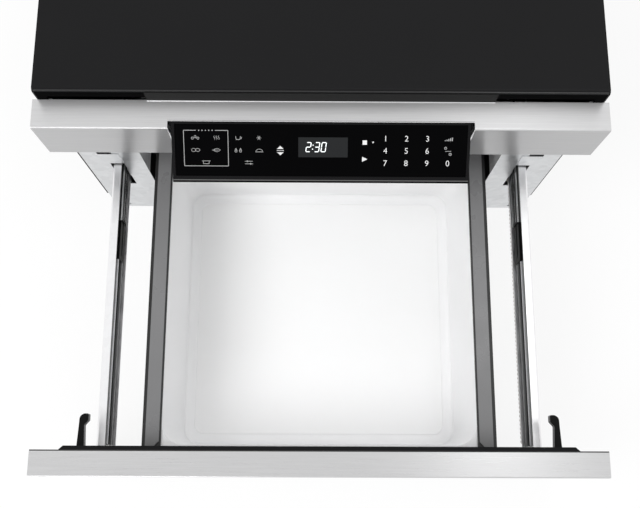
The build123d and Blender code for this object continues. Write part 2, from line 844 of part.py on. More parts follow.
def fan_motor():
    """Motor behind the wheel, its shaft forward through the seat."""
    y = motor_seat_y()
    can = rod_y(0.0, (y, y + 24.0), fan_z, 22.0)
    can = fillet(can.edges().group_by(Axis.Y)[-1], 3.0)
    stack = block((-26.0, 26.0), (y + 4.0, y + 16.0), (fan_z - 26.0, fan_z + 26.0))
    return can + stack + rod_y(0.0, (fan_y - 5.0, y + 1.0), fan_z, shaft_radius)


def air_duct():
    """Tapered duct that leads the fan's air to the magnetron's fins."""
    back = fan_y - 16.0 - seat_gap
    front = magnetron_y + 40.0
    low = works_z + waveguide_height
    start = (fan_radius + 8.0, fan_z - fan_radius - 8.0, fan_z + fan_radius + 8.0)
    end = (magnetron_size / 2 + 6.0, low + 2.0, low + 74.0)
    outer = duct_loft(start, end, back, front, 0.0)
    inner = duct_loft(start, end, back + 1.0, front - 1.0, 1.6)
    return outer - inner


def duct_loft(start, end, back, front, wall):
    """Solid between two rectangles, each (half width, low z, high z), drawn in by wall."""
    faces = []
    for (half, low, high), y in ((start, back), (end, front)):
        corners = [(-half + wall, low + wall), (half - wall, low + wall)]
        corners += [(half - wall, high - wall), (-half + wall, high - wall)]
        faces.append(outline([(x, y, z) for x, z in corners]))
    return loft(faces, ruled=True)


# --------------------------------------------------------------------------- the drawer


def door_skin():
    """Folded stainless drawer front, open behind, with softened outer edges."""
    x = (-front_half, front_half)
    y = (door_front, door_back - frame_show)
    z = (door_lift, door_top)
    outer = block(x, y, z)
    outer = fillet(outer.faces().sort_by(Axis.Y)[0].edges(), 1.8)
    inner = block(
        (x[0] + sheet, x[1] - sheet),
        (y[0] + sheet, y[1] + 1.0),
        (z[0] + sheet, z[1] - sheet),
    )
    return outer - inner


def door_frame():
    """Ribbed frame inside the skin that carries the inner plate."""
    gap = sheet + seat_gap
    x = (-front_half + gap, front_half - gap)
    y = (door_front + sheet, door_back)
    z = (door_lift + gap, door_top - gap)
    frame = block(x, y, z)
    frame += block(
        (-front_half + seat_gap, front_half - seat_gap),
        (door_back - frame_show, door_back),
        (door_lift + seat_gap, door_top - seat_gap),
    )
    columns = spread(x[0] + 3.0, x[1] - 3.0, 8)
    rows = spread(z[0] + 3.0, z[1] - 3.0, 4)
    for left, right in zip(columns, columns[1:]):
        for low, high in zip(rows, rows[1:]):
            cell = block((left + 1.5, right - 1.5), (y[0] - 1.0, y[1] - 3.0), (low + 1.5, high - 1.5))
            frame -= cell
    return frame


def door_inner_plate():
    """Black inner plate of the drawer front, its ends bevelled away."""
    reach = inner_plate_half - inner_plate_bevel
    points = [(-inner_plate_half, door_back), (inner_plate_half, door_back)]
    points += [(reach, drawer_face), (-reach, drawer_face)]
    plate = along_z(points, (door_lift + 12.0, door_top - 1.0))
    x, z = hook_tenon(seat_gap)
    cuts = block(x, (drawer_face - hook_tenon_depth - seat_gap, drawer_face + 1.0), z)
    for x, z in foot_screw_places():
        cuts += rod_y(x, (drawer_face - screw_grip, drawer_face + 1.0), z, screw_hole_radius)
    return plate - cuts - mirrored(cuts)


def drawer_tub():
    """White moulded tub with drafted walls, round corners and an outward rim."""
    length = tub_length - 2 * tub_wall
    centre_y = drawer_face + tub_length / 2
    top = rim_z - flange_thickness - tray_lip
    outer = tub_solid(tub_half + tub_wall, length / 2 + tub_wall, tub_bottom, top, centre_y, tub_wall)
    inner = tub_solid(tub_half, length / 2, floor_z - tray_thickness, top + 1.0, centre_y, 0.0)
    rim_x = flange_edge - 2.0
    rim_y = (drawer_face, tub_back)
    rim = block((-rim_x, rim_x), rim_y, (top - 2.5, top))
    rim -= tub_solid(tub_half, length / 2, top - 10.0, top + 1.0, centre_y, 0.0, blend=False)
    return outer + rim - inner


def tub_solid(half_x, half_y, low, high, centre_y, extra, blend=True):
    """Drafted block with round corners, widest at its top."""
    radius = tub_corner + extra
    sketch = Pos(0, centre_y, high) * RectangleRounded(2 * half_x, 2 * half_y, radius)
    solid = extrude(sketch, amount=high - low, dir=(0, 0, -1), taper=tub_draft)
    if blend:
        solid = fillet(solid.edges().group_by(Axis.Z)[0], tub_floor_radius + extra)
    return solid


def floor_tray():
    """Flat ceramic tray in the bottom of the tub."""
    inset = tub_floor_radius + tub_depth * math.tan(math.radians(tub_draft))
    half_x = tub_half - inset
    half_y = tub_length / 2 - tub_wall - inset
    centre_y = drawer_face + tub_length / 2
    sketch = Pos(0, centre_y, floor_z - tray_thickness) * RectangleRounded(2 * half_x, 2 * half_y, 16.0)
    tray = extrude(sketch, amount=tray_thickness)
    return fillet(tray.edges().group_by(Axis.Z)[-1], 1.5)


def flange_trays():
    """Black U-shaped trims that hold the side flanges of the tub."""
    low = rim_z - flange_thickness - tray_lip
    inner = tub_half
    outer = flange_edge
    y = (drawer_face, tub_back)
    trim = block((inner, outer), y, (low, rim_z))
    trim -= block(
        (inner + flange_inner_trim, outer - flange_outer_trim),
        (y[0] - 1.0, y[1] + 1.0),
        (low + tray_lip, rim_z + 1.0),
    )
    return pair(trim)


def side_flanges():
    """Grey metal strips along both sides of the tub's rim."""
    inner = tub_half + flange_inner_trim
    outer = flange_edge - flange_outer_trim
    points = [(inner, drawer_face + 8.0), (inner + 8.0, drawer_face), (outer, drawer_face)]
    points += [(outer, tub_back), (inner, tub_back)]
    return pair(along_z(points, (rim_z - flange_thickness, rim_z)))


def latch_hook():
    """Glossy hook on the drawer front: a tapered arm whose head turns inwards."""
    root = drawer_face
    tip = root + hook_length
    z = (hook_z, hook_z + hook_height)
    points = [(hook_x + 5.0, root), (hook_x + 3.6, root + 0.6 * hook_length)]
    points += [(hook_x + 3.0, tip - 3.0), (hook_x - 3.0, tip), (hook_x - 9.0, tip)]
    points += [(hook_x - 9.0, tip - 9.0), (hook_x - 3.6, tip - 15.0), (hook_x - 5.0, root)]
    hook = along_z(points, z, [0, 0, 7.0, 3.0, 2.0, 2.0, 3.0, 0])
    x, z = hook_tenon()
    return hook + block(x, (root - hook_tenon_depth, root + 0.5), z)


def hook_tenon(clearance=0.0):
    """(x, z) spans of the tenon that seats the right hook in the inner plate."""
    x = (hook_x - 4.0 - clearance, hook_x + 4.0 + clearance)
    return x, (hook_z + 1.0 - clearance, hook_z + hook_height - 1.0 + clearance)


# --------------------------------------------------------------------------- the slides

outer_start = plate_back + outer_setback
middle_start = drawer_face + middle_setback
inner_start = drawer_face + inner_setback
outer_half = slide_height / 2
middle_half = outer_half - slide_sheet - race_gap
inner_half = middle_half - slide_sheet - race_gap
ball_x = slide_x + slide_thickness * 0.6
outer_ball = outer_half - slide_sheet - race_gap / 2
inner_ball = middle_half - slide_sheet - race_gap / 2
middle_web = slide_x + slide_sheet + 2 * web_clear + cage_sheet
inner_lip = middle_web + slide_sheet + 2 * web_clear + cage_sheet


def race_cuts(y, half):
    """Two round grooves along Y for the balls that run at slide_z plus and minus half."""
    radius = ball_radius + race_clearance
    return rod_y(ball_x, y, slide_z + half, radius) + rod_y(ball_x, y, slide_z - half, radius)


def slide_section(web, lip, half, y):
    """Member of the right slide: a web at X = web with lips that reach to X = lip."""
    path = [(lip, slide_z + half), (web, slide_z + half), (web, slide_z - half), (lip, slide_z - half)]
    return sheet_y(path if lip > web else path[::-1], y, slide_sheet, slide_sheet)


def slide_outer():
    """Fixed outer member of the right slide, open outwards."""
    y = (outer_start, outer_start + outer_member_length)
    member = slide_section(slide_x, slide_back - 2 * slide_sheet, outer_half, y)
    return member - race_cuts(y, outer_ball)


def slide_middle():
    """Middle member of the right slide, nested in the outer one."""
    y = (middle_start, middle_start + middle_member_length)
    member = slide_section(middle_web, slide_back - 1.5 * slide_sheet, middle_half, y)
    return member - race_cuts(y, outer_ball) - race_cuts(y, inner_ball)


def slide_inner():
    """Inner member of the right slide, its web against the drawer's channel."""
    y = (inner_start, inner_start + inner_member_length)
    return slide_section(slide_back, inner_lip, inner_half, y) - race_cuts(y, inner_ball)


def ball_cage(first, length, half, web, lead=0.0):
    """Cage strip of one stage, its balls in holes behind a lead with a long window."""
    lip = ball_x + ball_radius + 3 * cage_sheet
    reach = half + cage_sheet / 2
    path = [(lip, slide_z + reach), (web, slide_z + reach)]
    path += [(web, slide_z - reach), (lip, slide_z - reach)]
    strip = sheet_y(path, (first, first + length), cage_sheet, cage_bend)
    if lead:
        through = (web - 1.0, web + 1.0)
        strip -= block(
            through,
            (first + cage_end, first + lead),
            (slide_z - cage_window / 2, slide_z + cage_window / 2),
        )
    balls = []
    for y in spread(first + lead + cage_end, first + length - cage_end, balls_per_row):
        for z in (slide_z - half, slide_z + half):
            strip -= rod_z(ball_x, y, (z - 2.0, z + 2.0), ball_radius + race_clearance)
            balls.append(Pos(ball_x, y, z) * Sphere(ball_radius))
    return group(strip, *balls)


def outer_cage():
    """Balls and cage between the fixed and the middle member."""
    first = outer_start + 2 * outer_setback
    return ball_cage(first, outer_cage_length, outer_ball, slide_x + slide_sheet + web_clear)


def inner_cage():
    """Balls and cage between the middle and the inner member, ahead of the middle one."""
    first = middle_start - inner_cage_lead
    web = middle_web + slide_sheet + web_clear
    return ball_cage(first, inner_cage_length, inner_ball, web, inner_cage_lead)


def rail_channel():
    """Bright channel, open inwards, that carries the slide's inner member on the drawer front."""
    y = (drawer_face, inner_start + inner_member_length)
    outer = rail_x + channel_width
    path = [(rail_x, channel_low), (outer, channel_low), (outer, channel_top), (rail_x, channel_top)]
    channel = sheet_y(path, y, thick_sheet)
    channel += block(
        (rail_x, outer - thick_sheet / 2),
        (y[0], y[0] + thick_sheet),
        (channel_low + thick_sheet / 2, channel_top - thick_sheet / 2),
    )
    for x, z in foot_screw_places():
        channel -= rod_y(x, (y[0] - 1.0, y[0] + 3.0), z, screw_hole_radius)
    return channel


def foot_screw_places():
    """(x, z) of the screws that hold the right channel's end to the inner plate."""
    x = rail_x + (channel_width - thick_sheet) / 2
    return [(x, z) for z in spread(channel_low + 16.0, channel_top - 16.0, 3)]


def drawer_screws():
    """Screws through the ends of both channels into the inner plate."""
    seat = drawer_face + thick_sheet
    screws = [Rot(0, 0, 180) * pan_screw(-x, -seat, z, screw_grip) for x, z in foot_screw_places()]
    return pair(group(*screws))


def slide_mount():
    """Channel that holds the right slide's outer member off the cavity wall."""
    y = (plate_back, outer_start + outer_member_length)
    wall = cavity_half + sheet
    half = outer_half - 6.0
    path = [(wall, slide_z + half), (slide_x, slide_z + half)]
    path += [(slide_x, slide_z - half), (wall, slide_z - half)]
    return sheet_y(path[::-1], y, thick_sheet)


# ---------------------------------------------------------------------- drive and locks

pitch = math.pi * drive_module
rack_pitch_z = channel_low - rack_height
pinion_radius = drive_module * pinion_teeth / 2
pinion_z = rack_pitch_z - pinion_radius
rack_x = (rail_x + 1.0, rail_x + 1.0 + pinion_width)


def drive_rack():
    """Toothed rack under the right channel, its teeth downwards."""
    teeth_forward = math.floor((pinion_y - drawer_face - 8.0) / pitch)
    first = pinion_y - teeth_forward * pitch
    last = pinion_y + 2 * pitch
    return along_x(rack_points(first, last, drive_module, rack_pitch_z, channel_low), rack_x)


def drive_pinion():
    """Pinion under the rack, with a gap between two teeth straight up."""
    x = (rack_x[0] + 0.5, rack_x[1] - 0.5)
    phase = math.pi / 2 + math.pi / pinion_teeth
    wheel = gear_x(pinion_teeth, drive_module, x, pinion_y, pinion_z, phase)
    wheel += rod_x((x[0] - 3.0, x[1]), pinion_y, pinion_z, 9.0)
    return wheel - rod_x((x[0] - 4.0, x[1] + 1.0), pinion_y, pinion_z, drive_shaft_radius + running_clearance)


worm_top = rack_pitch_z - drive_module - drive_clearance
motor_z = worm_top - drive_motor_radius
gearbox_x = (rail_x + channel_width + drive_clearance, rail_x + channel_width + gearbox_width)
motor_x = gearbox_x[0] - drive_motor_radius / 2
gearbox_back = pinion_y + gearbox_length
gearbox_low = motor_z - drive_motor_radius - gearbox_wall


def drive_gearbox():
    """Drive gearbox beside the channel, its worm housing under the rack, on a leg to the base."""
    half = pinion_radius + gearbox_wall
    body = block(gearbox_x, (pinion_y - half, gearbox_back), (gearbox_low, pinion_z + half))
    body = fillet(body.edges().filter_by(Axis.X), gearbox_wall)
    worm_x = (motor_x - drive_motor_radius - gearbox_wall / 2, gearbox_x[0] + 1.0)
    worm_y = (pinion_y + pinion_radius + drive_module * 2, gearbox_back)
    worm = block(worm_x, worm_y, (gearbox_low, worm_top))
    worm = fillet(worm.edges().filter_by(Axis.Z).group_by(Axis.X)[0], gearbox_wall / 2)
    base = foot_height + sheet
    leg = block((gearbox_x[0], gearbox_x[0] + gearbox_wall), worm_y, (base, gearbox_low + gearbox_wall))
    foot = block(gearbox_x, worm_y, (base, base + 3.0))
    shaft = rod_x((rack_x[0] - 3.0, gearbox_x[0] + 1.0), pinion_y, pinion_z, drive_shaft_radius)
    return body + worm + leg + foot + shaft


def drive_motor():
    """Motor behind the gearbox, its axis along Y."""
    y = (gearbox_back, gearbox_back + drive_motor_length)
    can = rod_y(motor_x, y, motor_z, drive_motor_radius)
    can = fillet(can.edges().group_by(Axis.Y)[-1], 2.0)
    boss = rod_y(motor_x, (y[1] - 1.0, y[1] + 4.0), motor_z, drive_motor_radius / 3)
    return can + boss


plunger_x = hook_x - 5.0
plunger_z = hook_z + hook_height / 2
plunger_y = plate_front - door_gap + hook_length + plunger_clearance
switch_y = plunger_y + plunger_travel + 2.0


def interlock_plunger():
    """Round push-button of the right door switch, just short of the closed hook."""
    y = (plunger_y, plunger_y + plunger_length)
    button = rod_y(plunger_x, y, plunger_z, plunger_radius)
    return fillet(button.edges().group_by(Axis.Y)[0], 1.0)


def interlock_switches():
    """Micro-switches behind the front plate that the hooks reach for."""
    body = block(
        (plunger_x - 5.0, plunger_x + 5.0),
        (switch_y, switch_y + 28.0),
        (plunger_z - 8.0, plunger_z + 8.0),
    )
    bore = plunger_radius + running_clearance
    depth = plunger_length + plunger_travel
    body -= rod_y(plunger_x, (switch_y - 1.0, plunger_y + depth), plunger_z, bore)
    for step in (6.0, 14.0, 22.0):
        body += block(
            (plunger_x - 0.4, plunger_x + 0.4),
            (switch_y + step - 2.0, switch_y + step + 2.0),
            (plunger_z - 15.0, plunger_z - 7.0),
        )
    return pair(body)


def interlock_brackets():
    """Angles that hang the door switches behind the front plate."""
    side = plunger_x + 5.0
    leg = hook_x + 9.0
    jog = switch_y - 4.0
    z = (plunger_z - 9.0, plunger_z + 9.0)
    path = [(side, switch_y + 30.0), (side, jog), (leg, jog), (leg, plate_back), (leg + 14.0, plate_back)]
    return pair(sheet_z(path, z, thick_sheet, 0.8))


# ------------------------------------------------------------------------ control panel


def tilted(shape):
    """A shape drawn with the panel shut, swung to the panel's open place."""
    return Pos(0, hinge_y, hinge_z) * Rot(-panel_tilt, 0, 0) * Pos(0, -hinge_y, -hinge_z) * shape


def panel_glass_span():
    return (-panel_half + 4.0, panel_half - 4.0), (panel_low + panel_lip, hinge_z - 1.0)


def panel_housing():
    """Panel moulding, drawn shut: hinge barrel, face frame, side arms, rear box and lip."""
    face = (panel_face, panel_face + panel_barrel)
    body = block((-panel_half, panel_half), face, (panel_low, hinge_z))
    lower = body.edges().filter_by(Axis.X).group_by(Axis.Z)[0]
    body = fillet(lower, 2.2)
    body += rod_x((-panel_half, panel_half), hinge_y, hinge_z, panel_barrel)
    box_half = panel_half - panel_side_wall
    box_y = (panel_face + 1.0, panel_face + panel_depth)
    box_z = (panel_low + 3.0, hinge_z - 9.0)
    body += block((-box_half, box_half), box_y, box_z)
    body -= block(
        (-box_half + panel_wall, box_half - panel_wall),
        (panel_face + glass_thickness + panel_wall, box_y[1] + 1.0),
        (box_z[0] + panel_wall, box_z[1] - panel_wall),
    )
    glass_x, glass_z = panel_glass_span()
    body -= block(
        (glass_x[0] - seat_gap, glass_x[1] + seat_gap),
        (panel_face - 1.0, panel_face + glass_thickness),
        (glass_z[0] - seat_gap, glass_z[1] + seat_gap),
    )
    body -= block(display_x, (panel_face, panel_face + 2 * panel_barrel), display_z)
    body += rod_x((-panel_half - 3.2, -panel_half + 1.0), hinge_y, hinge_z, hinge_pin_radius)
    body += rod_x((panel_half - 1.0, panel_half + 3.2), hinge_y, hinge_z, hinge_pin_radius)
    return tilted(body) + panel_sector()


display_x = (-20.0, 46.0)
display_z = (panel_low + 34.0, panel_low + 58.0)
sector_x = (-panel_half + 4.0, -panel_half + 4.0 + sector_width)
sector_radius = sector_teeth * panel_module / 2
panel_gear_radius = panel_gear_teeth * panel_module / 2


def gear_line():
    """Place of the panel's drive gear, seen from the hinge along sector_direction."""
    angle = math.radians(sector_direction)
    reach = sector_radius + panel_gear_radius
    return hinge_y + reach * math.cos(angle), hinge_z + reach * math.sin(angle)


def panel_sector():
    """Toothed sector round the hinge, drawn with the panel open."""
    step = 2 * math.pi / sector_teeth
    meet = math.radians(sector_direction)
    swing = math.radians(panel_tilt)
    count = math.ceil(swing / step) + 2
    centres = [meet + (i - count + 1) * step for i in range(count + 1)]
    points = [(hinge_y + a, hinge_z + b) for a, b in teeth_points(sector_teeth, panel_module, centres)]
    return along_x([(hinge_y, hinge_z)] + points, sector_x)


def panel_gear():
    """Small gear that drives the sector."""
    y, z = gear_line()
    phase = math.radians(sector_direction) + math.pi + math.pi / panel_gear_teeth
    x = (sector_x[0] + 0.5, sector_x[1] - 0.5)
    wheel = gear_x(panel_gear_teeth, panel_module, x, y, z, phase)
    return wheel - rod_x((x[0] - 1.0, x[1] + 1.0), y, z, shaft_radius + running_clearance)


def panel_motor():
    """Geared motor of the panel behind the front plate."""
    y, z = gear_line()
    shaft = rod_x((sector_x[0] - 7.0, sector_x[1] - 0.5), y, z, shaft_radius)
    can = rod_x((sector_x[0] - 44.0, sector_x[0] - 6.0), y, z, 11.0)
    ear = block(
        (sector_x[0] - 10.0, sector_x[0] - 6.0),
        (plate_back, y),
        (z - 16.0, z + 16.0),
    )
    return can + shaft + (ear - block((-500.0, 500.0), (plate_back - 1.0, y), (z + 17.0, z + 40.0)))


def panel_glass():
    """Touch glass in the face of the panel."""
    x, z = panel_glass_span()
    glass = block(x, (panel_face, panel_face + glass_thickness), z)
    return tilted(fillet(glass.faces().sort_by(Axis.Y)[0].edges(), 0.4))


def display_module():
    """Display block behind the glass, in the window of the housing."""
    x = (display_x[0] + seat_gap, display_x[1] - seat_gap)
    z = (display_z[0] + seat_gap, display_z[1] - seat_gap)
    y = (panel_face + glass_thickness, board_y())
    return tilted(block(x, y, z))


def board_y():
    return panel_face + panel_depth - 5.0


def control_board():
    """Circuit board in the rear box of the panel, on four posts."""
    half = panel_half - panel_side_wall - panel_wall - 1.0
    z = (panel_low + 3.0 + panel_wall + 1.0, hinge_z - 9.0 - panel_wall - 1.0)
    board = block((-half, half), (board_y(), board_y() + 1.6), z)
    for x in spread(-half + 8.0, half - 8.0, 4):
        for height in (z[0] + 6.0, z[1] - 6.0):
            board += rod_y(x, (panel_face + glass_thickness + panel_wall, board_y() + 0.5), height, 2.5)
    board += block((-60.0, -30.0), (board_y() + 1.0, board_y() + 4.0), (z[0] + 10.0, z[0] + 26.0))
    return tilted(board)


def hinge_brackets():
    """Ears on the front plate that carry the panel's hinge pins."""
    ear_x = (panel_half + 1.0, panel_half + 2.6)
    points = [(hinge_y - 5.0, hinge_z - 14.0), (hinge_y - 5.0, hinge_z + 5.0)]
    points += [(plate_front, hinge_z + 5.0), (plate_front, hinge_z - 14.0)]
    ear = along_x(points, ear_x, [2.0, 4.0, 0, 0])
    foot = block(
        (ear_x[0], ear_x[1] + 12.0),
        (plate_front - thick_sheet, plate_front),
        (hinge_z - 14.0, hinge_z + 5.0),
    )
    bore = rod_x((ear_x[0] - 1.0, ear_x[1] + 1.0), hinge_y, hinge_z, hinge_pin_radius + running_clearance)
    return pair(ear + foot - bore)


def chassis_screws():
    """Screws that fix the case to the front plate's flanges and the back cover."""
    screws = []
    for side in (-1, 1):
        for z in spread(foot_height + 40.0, case_top - 40.0, 4):
            screws.append(pan_screw(side * (case_half - 7.5), case_front, z, 0.0))
    return group(*screws)


# -------------------------------------------------------------------------------- nodes

nodes = {
    "outer_case": outer_case,
    "base_plate": base_plate,
    "base_feet": base_feet,
    "rear_panel": rear_panel,
    "cord_gland": cord_gland,
    "front_plate": front_plate,
    "rail_guides": rail_guides,
    "bezel": bezel,
    "chassis_screws": chassis_screws,
    "cavity_shell": cavity_shell,
    "stirrer_cover": stirrer_cover,
    "stirrer_motor": stirrer_motor,
    "stirrer": stirrer,
    "waveguide": waveguide,
    "magnetron": magnetron,
    "transformer_core": transformer_core,
    "transformer_windings": transformer_windings,
    "capacitor": capacitor,
    "capacitor_clamp": capacitor_clamp,
    "oven_lamp": oven_lamp,
    "filter_board": filter_board,
    "fan_wheel": fan_wheel,
    "fan_shroud": fan_shroud,
    "fan_motor": fan_motor,
    "air_duct": air_duct,
    "door_skin": door_skin,
    "door_frame": door_frame,
    "door_inner_plate": door_inner_plate,
    "drawer_tub": drawer_tub,
    "floor_tray": floor_tray,
    "flange_trims": flange_trays,
    "side_flanges": side_flanges,
    "latch_hooks": lambda: pair(latch_hook()),
    "drawer_screws": drawer_screws,
    "slide_mounts": lambda: pair(slide_mount()),
    "ball_cages_outer": lambda: pair(outer_cage()),
    "ball_cages_inner": lambda: pair(inner_cage()),
    "drive_rack": drive_rack,
    "drive_pinion": drive_pinion,
    "drive_gearbox": drive_gearbox,
    "drive_motor": drive_motor,
    "interlock_switches": interlock_switches,
    "interlock_brackets": interlock_brackets,
    "hinge_brackets": hinge_brackets,
    "panel_housing": panel_housing,
    "panel_glass": panel_glass,
    "display_module": display_module,
    "control_board": control_board,
    "panel_gear": panel_gear,
    "panel_motor": panel_motor,
}

handed = {
    "slide_outer": slide_outer,
    "slide_middle": slide_middle,
    "slide_inner": slide_inner,
    "rail_channel": rail_channel,
    "interlock_plunger": interlock_plunger,
}

os.makedirs("parts", exist_ok=True)
for name, make in nodes.items():
    export_step(make(), f"parts/{name}.step")
for name, make in handed.items():
    right = make()
    export_step(right, f"parts/{name}_right.step")
    export_step(mirrored(right), f"parts/{name}_left.step")
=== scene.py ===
import math

import bmesh
import bpy
from mathutils import Matrix, Vector


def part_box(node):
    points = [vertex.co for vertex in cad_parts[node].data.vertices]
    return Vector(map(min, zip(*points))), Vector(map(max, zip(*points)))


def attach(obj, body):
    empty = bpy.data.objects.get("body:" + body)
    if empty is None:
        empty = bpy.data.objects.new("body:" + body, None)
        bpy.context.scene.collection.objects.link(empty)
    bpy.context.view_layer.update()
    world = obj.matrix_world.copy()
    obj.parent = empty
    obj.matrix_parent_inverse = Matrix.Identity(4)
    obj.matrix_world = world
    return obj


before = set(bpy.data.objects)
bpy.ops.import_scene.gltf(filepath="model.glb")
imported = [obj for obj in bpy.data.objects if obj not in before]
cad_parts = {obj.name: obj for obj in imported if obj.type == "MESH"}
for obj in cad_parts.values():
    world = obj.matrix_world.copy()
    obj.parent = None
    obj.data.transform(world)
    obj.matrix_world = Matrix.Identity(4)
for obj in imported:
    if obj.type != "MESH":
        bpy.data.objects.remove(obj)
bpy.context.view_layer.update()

MM = 0.001
scene = bpy.context.scene

# ------------------------------------------------------------------------------ materials


class Finish:
    """One node-based material: a principled shader, textured in the piece's own coordinates."""

    def __init__(self, name, colour, roughness, metallic=0.0, specular=0.5):
        self.material = bpy.data.materials.new(name)
        self.material.use_nodes = True
        self.tree = self.material.node_tree
        self.tree.nodes.clear()
        output = self.node("ShaderNodeOutputMaterial")
        self.shader = self.node("ShaderNodeBsdfPrincipled")
        self.link(self.shader.outputs["BSDF"], output.inputs["Surface"])
        self.colour = colour
        self.roughness = roughness
        self.set("Base Color", (*colour, 1))
        self.set("Roughness", roughness)
        self.set("Metallic", metallic)
        self.set("Specular IOR Level", specular)
        self.place = self.node("ShaderNodeTexCoord").outputs["Object"]
        self.normal = None

    def node(self, kind, **values):
        made = self.tree.nodes.new(kind)
        for key, value in values.items():
            setattr(made, key, value)
        return made

    def link(self, a, b):
        self.tree.links.new(a, b)

    def set(self, socket, value):
        self.shader.inputs[socket].default_value = value

    def mapped(self, stretch):
        mapping = self.node("ShaderNodeMapping")
        mapping.inputs["Scale"].default_value = stretch
        self.link(self.place, mapping.inputs["Vector"])
        return mapping.outputs["Vector"]

    def noise(self, scale, stretch=(1, 1, 1), detail=3.0, roughness=0.5):
        made = self.node("ShaderNodeTexNoise")
        made.inputs["Scale"].default_value = scale
        made.inputs["Detail"].default_value = detail
        made.inputs["Roughness"].default_value = roughness
        self.link(self.mapped(stretch), made.inputs["Vector"])
        return made.outputs["Fac"]

    def cells(self, scale, stretch=(1, 1, 1), feature="F1"):
        made = self.node("ShaderNodeTexVoronoi", feature=feature)
        made.inputs["Scale"].default_value = scale
        self.link(self.mapped(stretch), made.inputs["Vector"])
        return made

    def wave(self, scale, direction, distortion):
        made = self.node("ShaderNodeTexWave", bands_direction=direction)
        made.inputs["Scale"].default_value = scale
        made.inputs["Distortion"].default_value = distortion
        made.inputs["Detail Scale"].default_value = 1.0
        self.link(self.place, made.inputs["Vector"])
        return made.outputs["Fac"]

    def spread(self, value, low, high, start=0.3, end=0.7):
        """A value from start to end, mapped to low to high and held there beyond both."""
        made = self.node("ShaderNodeMapRange")
        made.inputs["From Min"].default_value = start
        made.inputs["From Max"].default_value = end
        made.inputs["To Min"].default_value = low
        made.inputs["To Max"].default_value = high
        self.link(value, made.inputs["Value"])
        return made.outputs["Result"]

    def tint(self, value, dark, light, start=0.3, end=0.7):
        """Base colour that runs from dark to light times the finish's colour."""
        ramp = self.node("ShaderNodeValToRGB")
        ramp.color_ramp.elements[0].position = start
        ramp.color_ramp.elements[1].position = end
        ramp.color_ramp.elements[0].color = (*[c * dark for c in self.colour], 1)
        ramp.color_ramp.elements[1].color = (*[min(1.0, c * light) for c in self.colour], 1)
        self.link(value, ramp.inputs["Fac"])
        self.link(ramp.outputs["Color"], self.shader.inputs["Base Color"])

    def vary_roughness(self, value, amount):
        result = self.spread(value, self.roughness - amount, self.roughness + amount)
        self.link(result, self.shader.inputs["Roughness"])

    def bump(self, value, depth):
        """Relief of the given depth in metres, on top of any relief made before."""
        made = self.node("ShaderNodeBump")
        made.inputs["Distance"].default_value = depth
        made.inputs["Strength"].default_value = 1.0
        self.link(value, made.inputs["Height"])
        if self.normal is not None:
            self.link(self.normal, made.inputs["Normal"])
        self.normal = made.outputs["Normal"]
        self.link(self.normal, self.shader.inputs["Normal"])

    def coordinate(self, axis):
        """One of the piece's own coordinates, in metres, with X measured from the middle."""
        split = self.node("ShaderNodeSeparateXYZ")
        self.link(self.place, split.inputs[0])
        if axis != "X":
            return split.outputs[axis]
        size = self.node("ShaderNodeMath", operation="ABSOLUTE")
        self.link(split.outputs["X"], size.inputs[0])
        return size.outputs[0]

    def lacquer(self, bare, colour, roughness, shine=0.75):
        """Dull lacquer over the metal where bare is 0, and none where it is 1; on the cavity,
        painted shade in its place.

        Shine is how metallic the bare part is.
        """
        base = self.shader.inputs["Base Color"]
        mix = self.node("ShaderNodeMix", data_type="RGBA")
        mix.inputs["A"].default_value = (*colour, 1)
        self.link(bare, mix.inputs["Factor"])
        self.link(base.links[0].from_socket, mix.inputs["B"])
        self.link(mix.outputs["Result"], base)
        metallic = self.spread(bare, 0.0, shine, 0.0, 1.0)
        self.link(metallic, self.shader.inputs["Metallic"])
        roughnesses = self.spread(bare, roughness, self.roughness, 0.0, 1.0)
        self.link(roughnesses, self.shader.inputs["Roughness"])

    def bands(self, axis, stops):
        """Painted shade and highlights: colour and shine times a brightness that runs through
        (millimetres, brightness) stops.
        """
        low, high = stops[0][0] * MM, stops[-1][0] * MM
        ramp = self.node("ShaderNodeValToRGB")
        marks = [ramp.color_ramp.elements[0], ramp.color_ramp.elements[1]]
        marks[0].color = (stops[0][1],) * 3 + (1,)
        marks[1].color = (stops[-1][1],) * 3 + (1,)
        for place, bright in stops[1:-1]:
            mark = ramp.color_ramp.elements.new((place * MM - low) / (high - low))
            mark.color = (bright, bright, bright, 1)
        along = self.spread(self.coordinate(axis), 0.0, 1.0, low, high)
        self.link(along, ramp.inputs["Fac"])
        base = self.shader.inputs["Base Color"]
        mix = self.node("ShaderNodeMix", data_type="RGBA", blend_type="MULTIPLY")
        mix.inputs["Factor"].default_value = 1.0
        self.link(base.links[0].from_socket, mix.inputs["A"])
        self.link(ramp.outputs["Color"], mix.inputs["B"])
        self.link(mix.outputs["Result"], base)
        metallic = self.shader.inputs["Metallic"]
        shine = self.node("ShaderNodeMath", operation="MULTIPLY")
        shine.inputs[0].default_value = metallic.default_value
        if metallic.links:
            self.link(metallic.links[0].from_socket, shine.inputs[0])
        self.link(ramp.outputs["Color"], shine.inputs[1])
        self.link(shine.outputs[0], metallic)


# brushed metal: how its grain is stretched, how far its reflections smear (0 to 1), and how much
# of its colour's variation is broad cloudiness and not grain
ALONG_X, ALONG_Y, EVEN = (1, 60, 60), (60, 1, 60), (1, 1, 1)
SMEAR = 0.85
BROAD_SHARE = 0.35


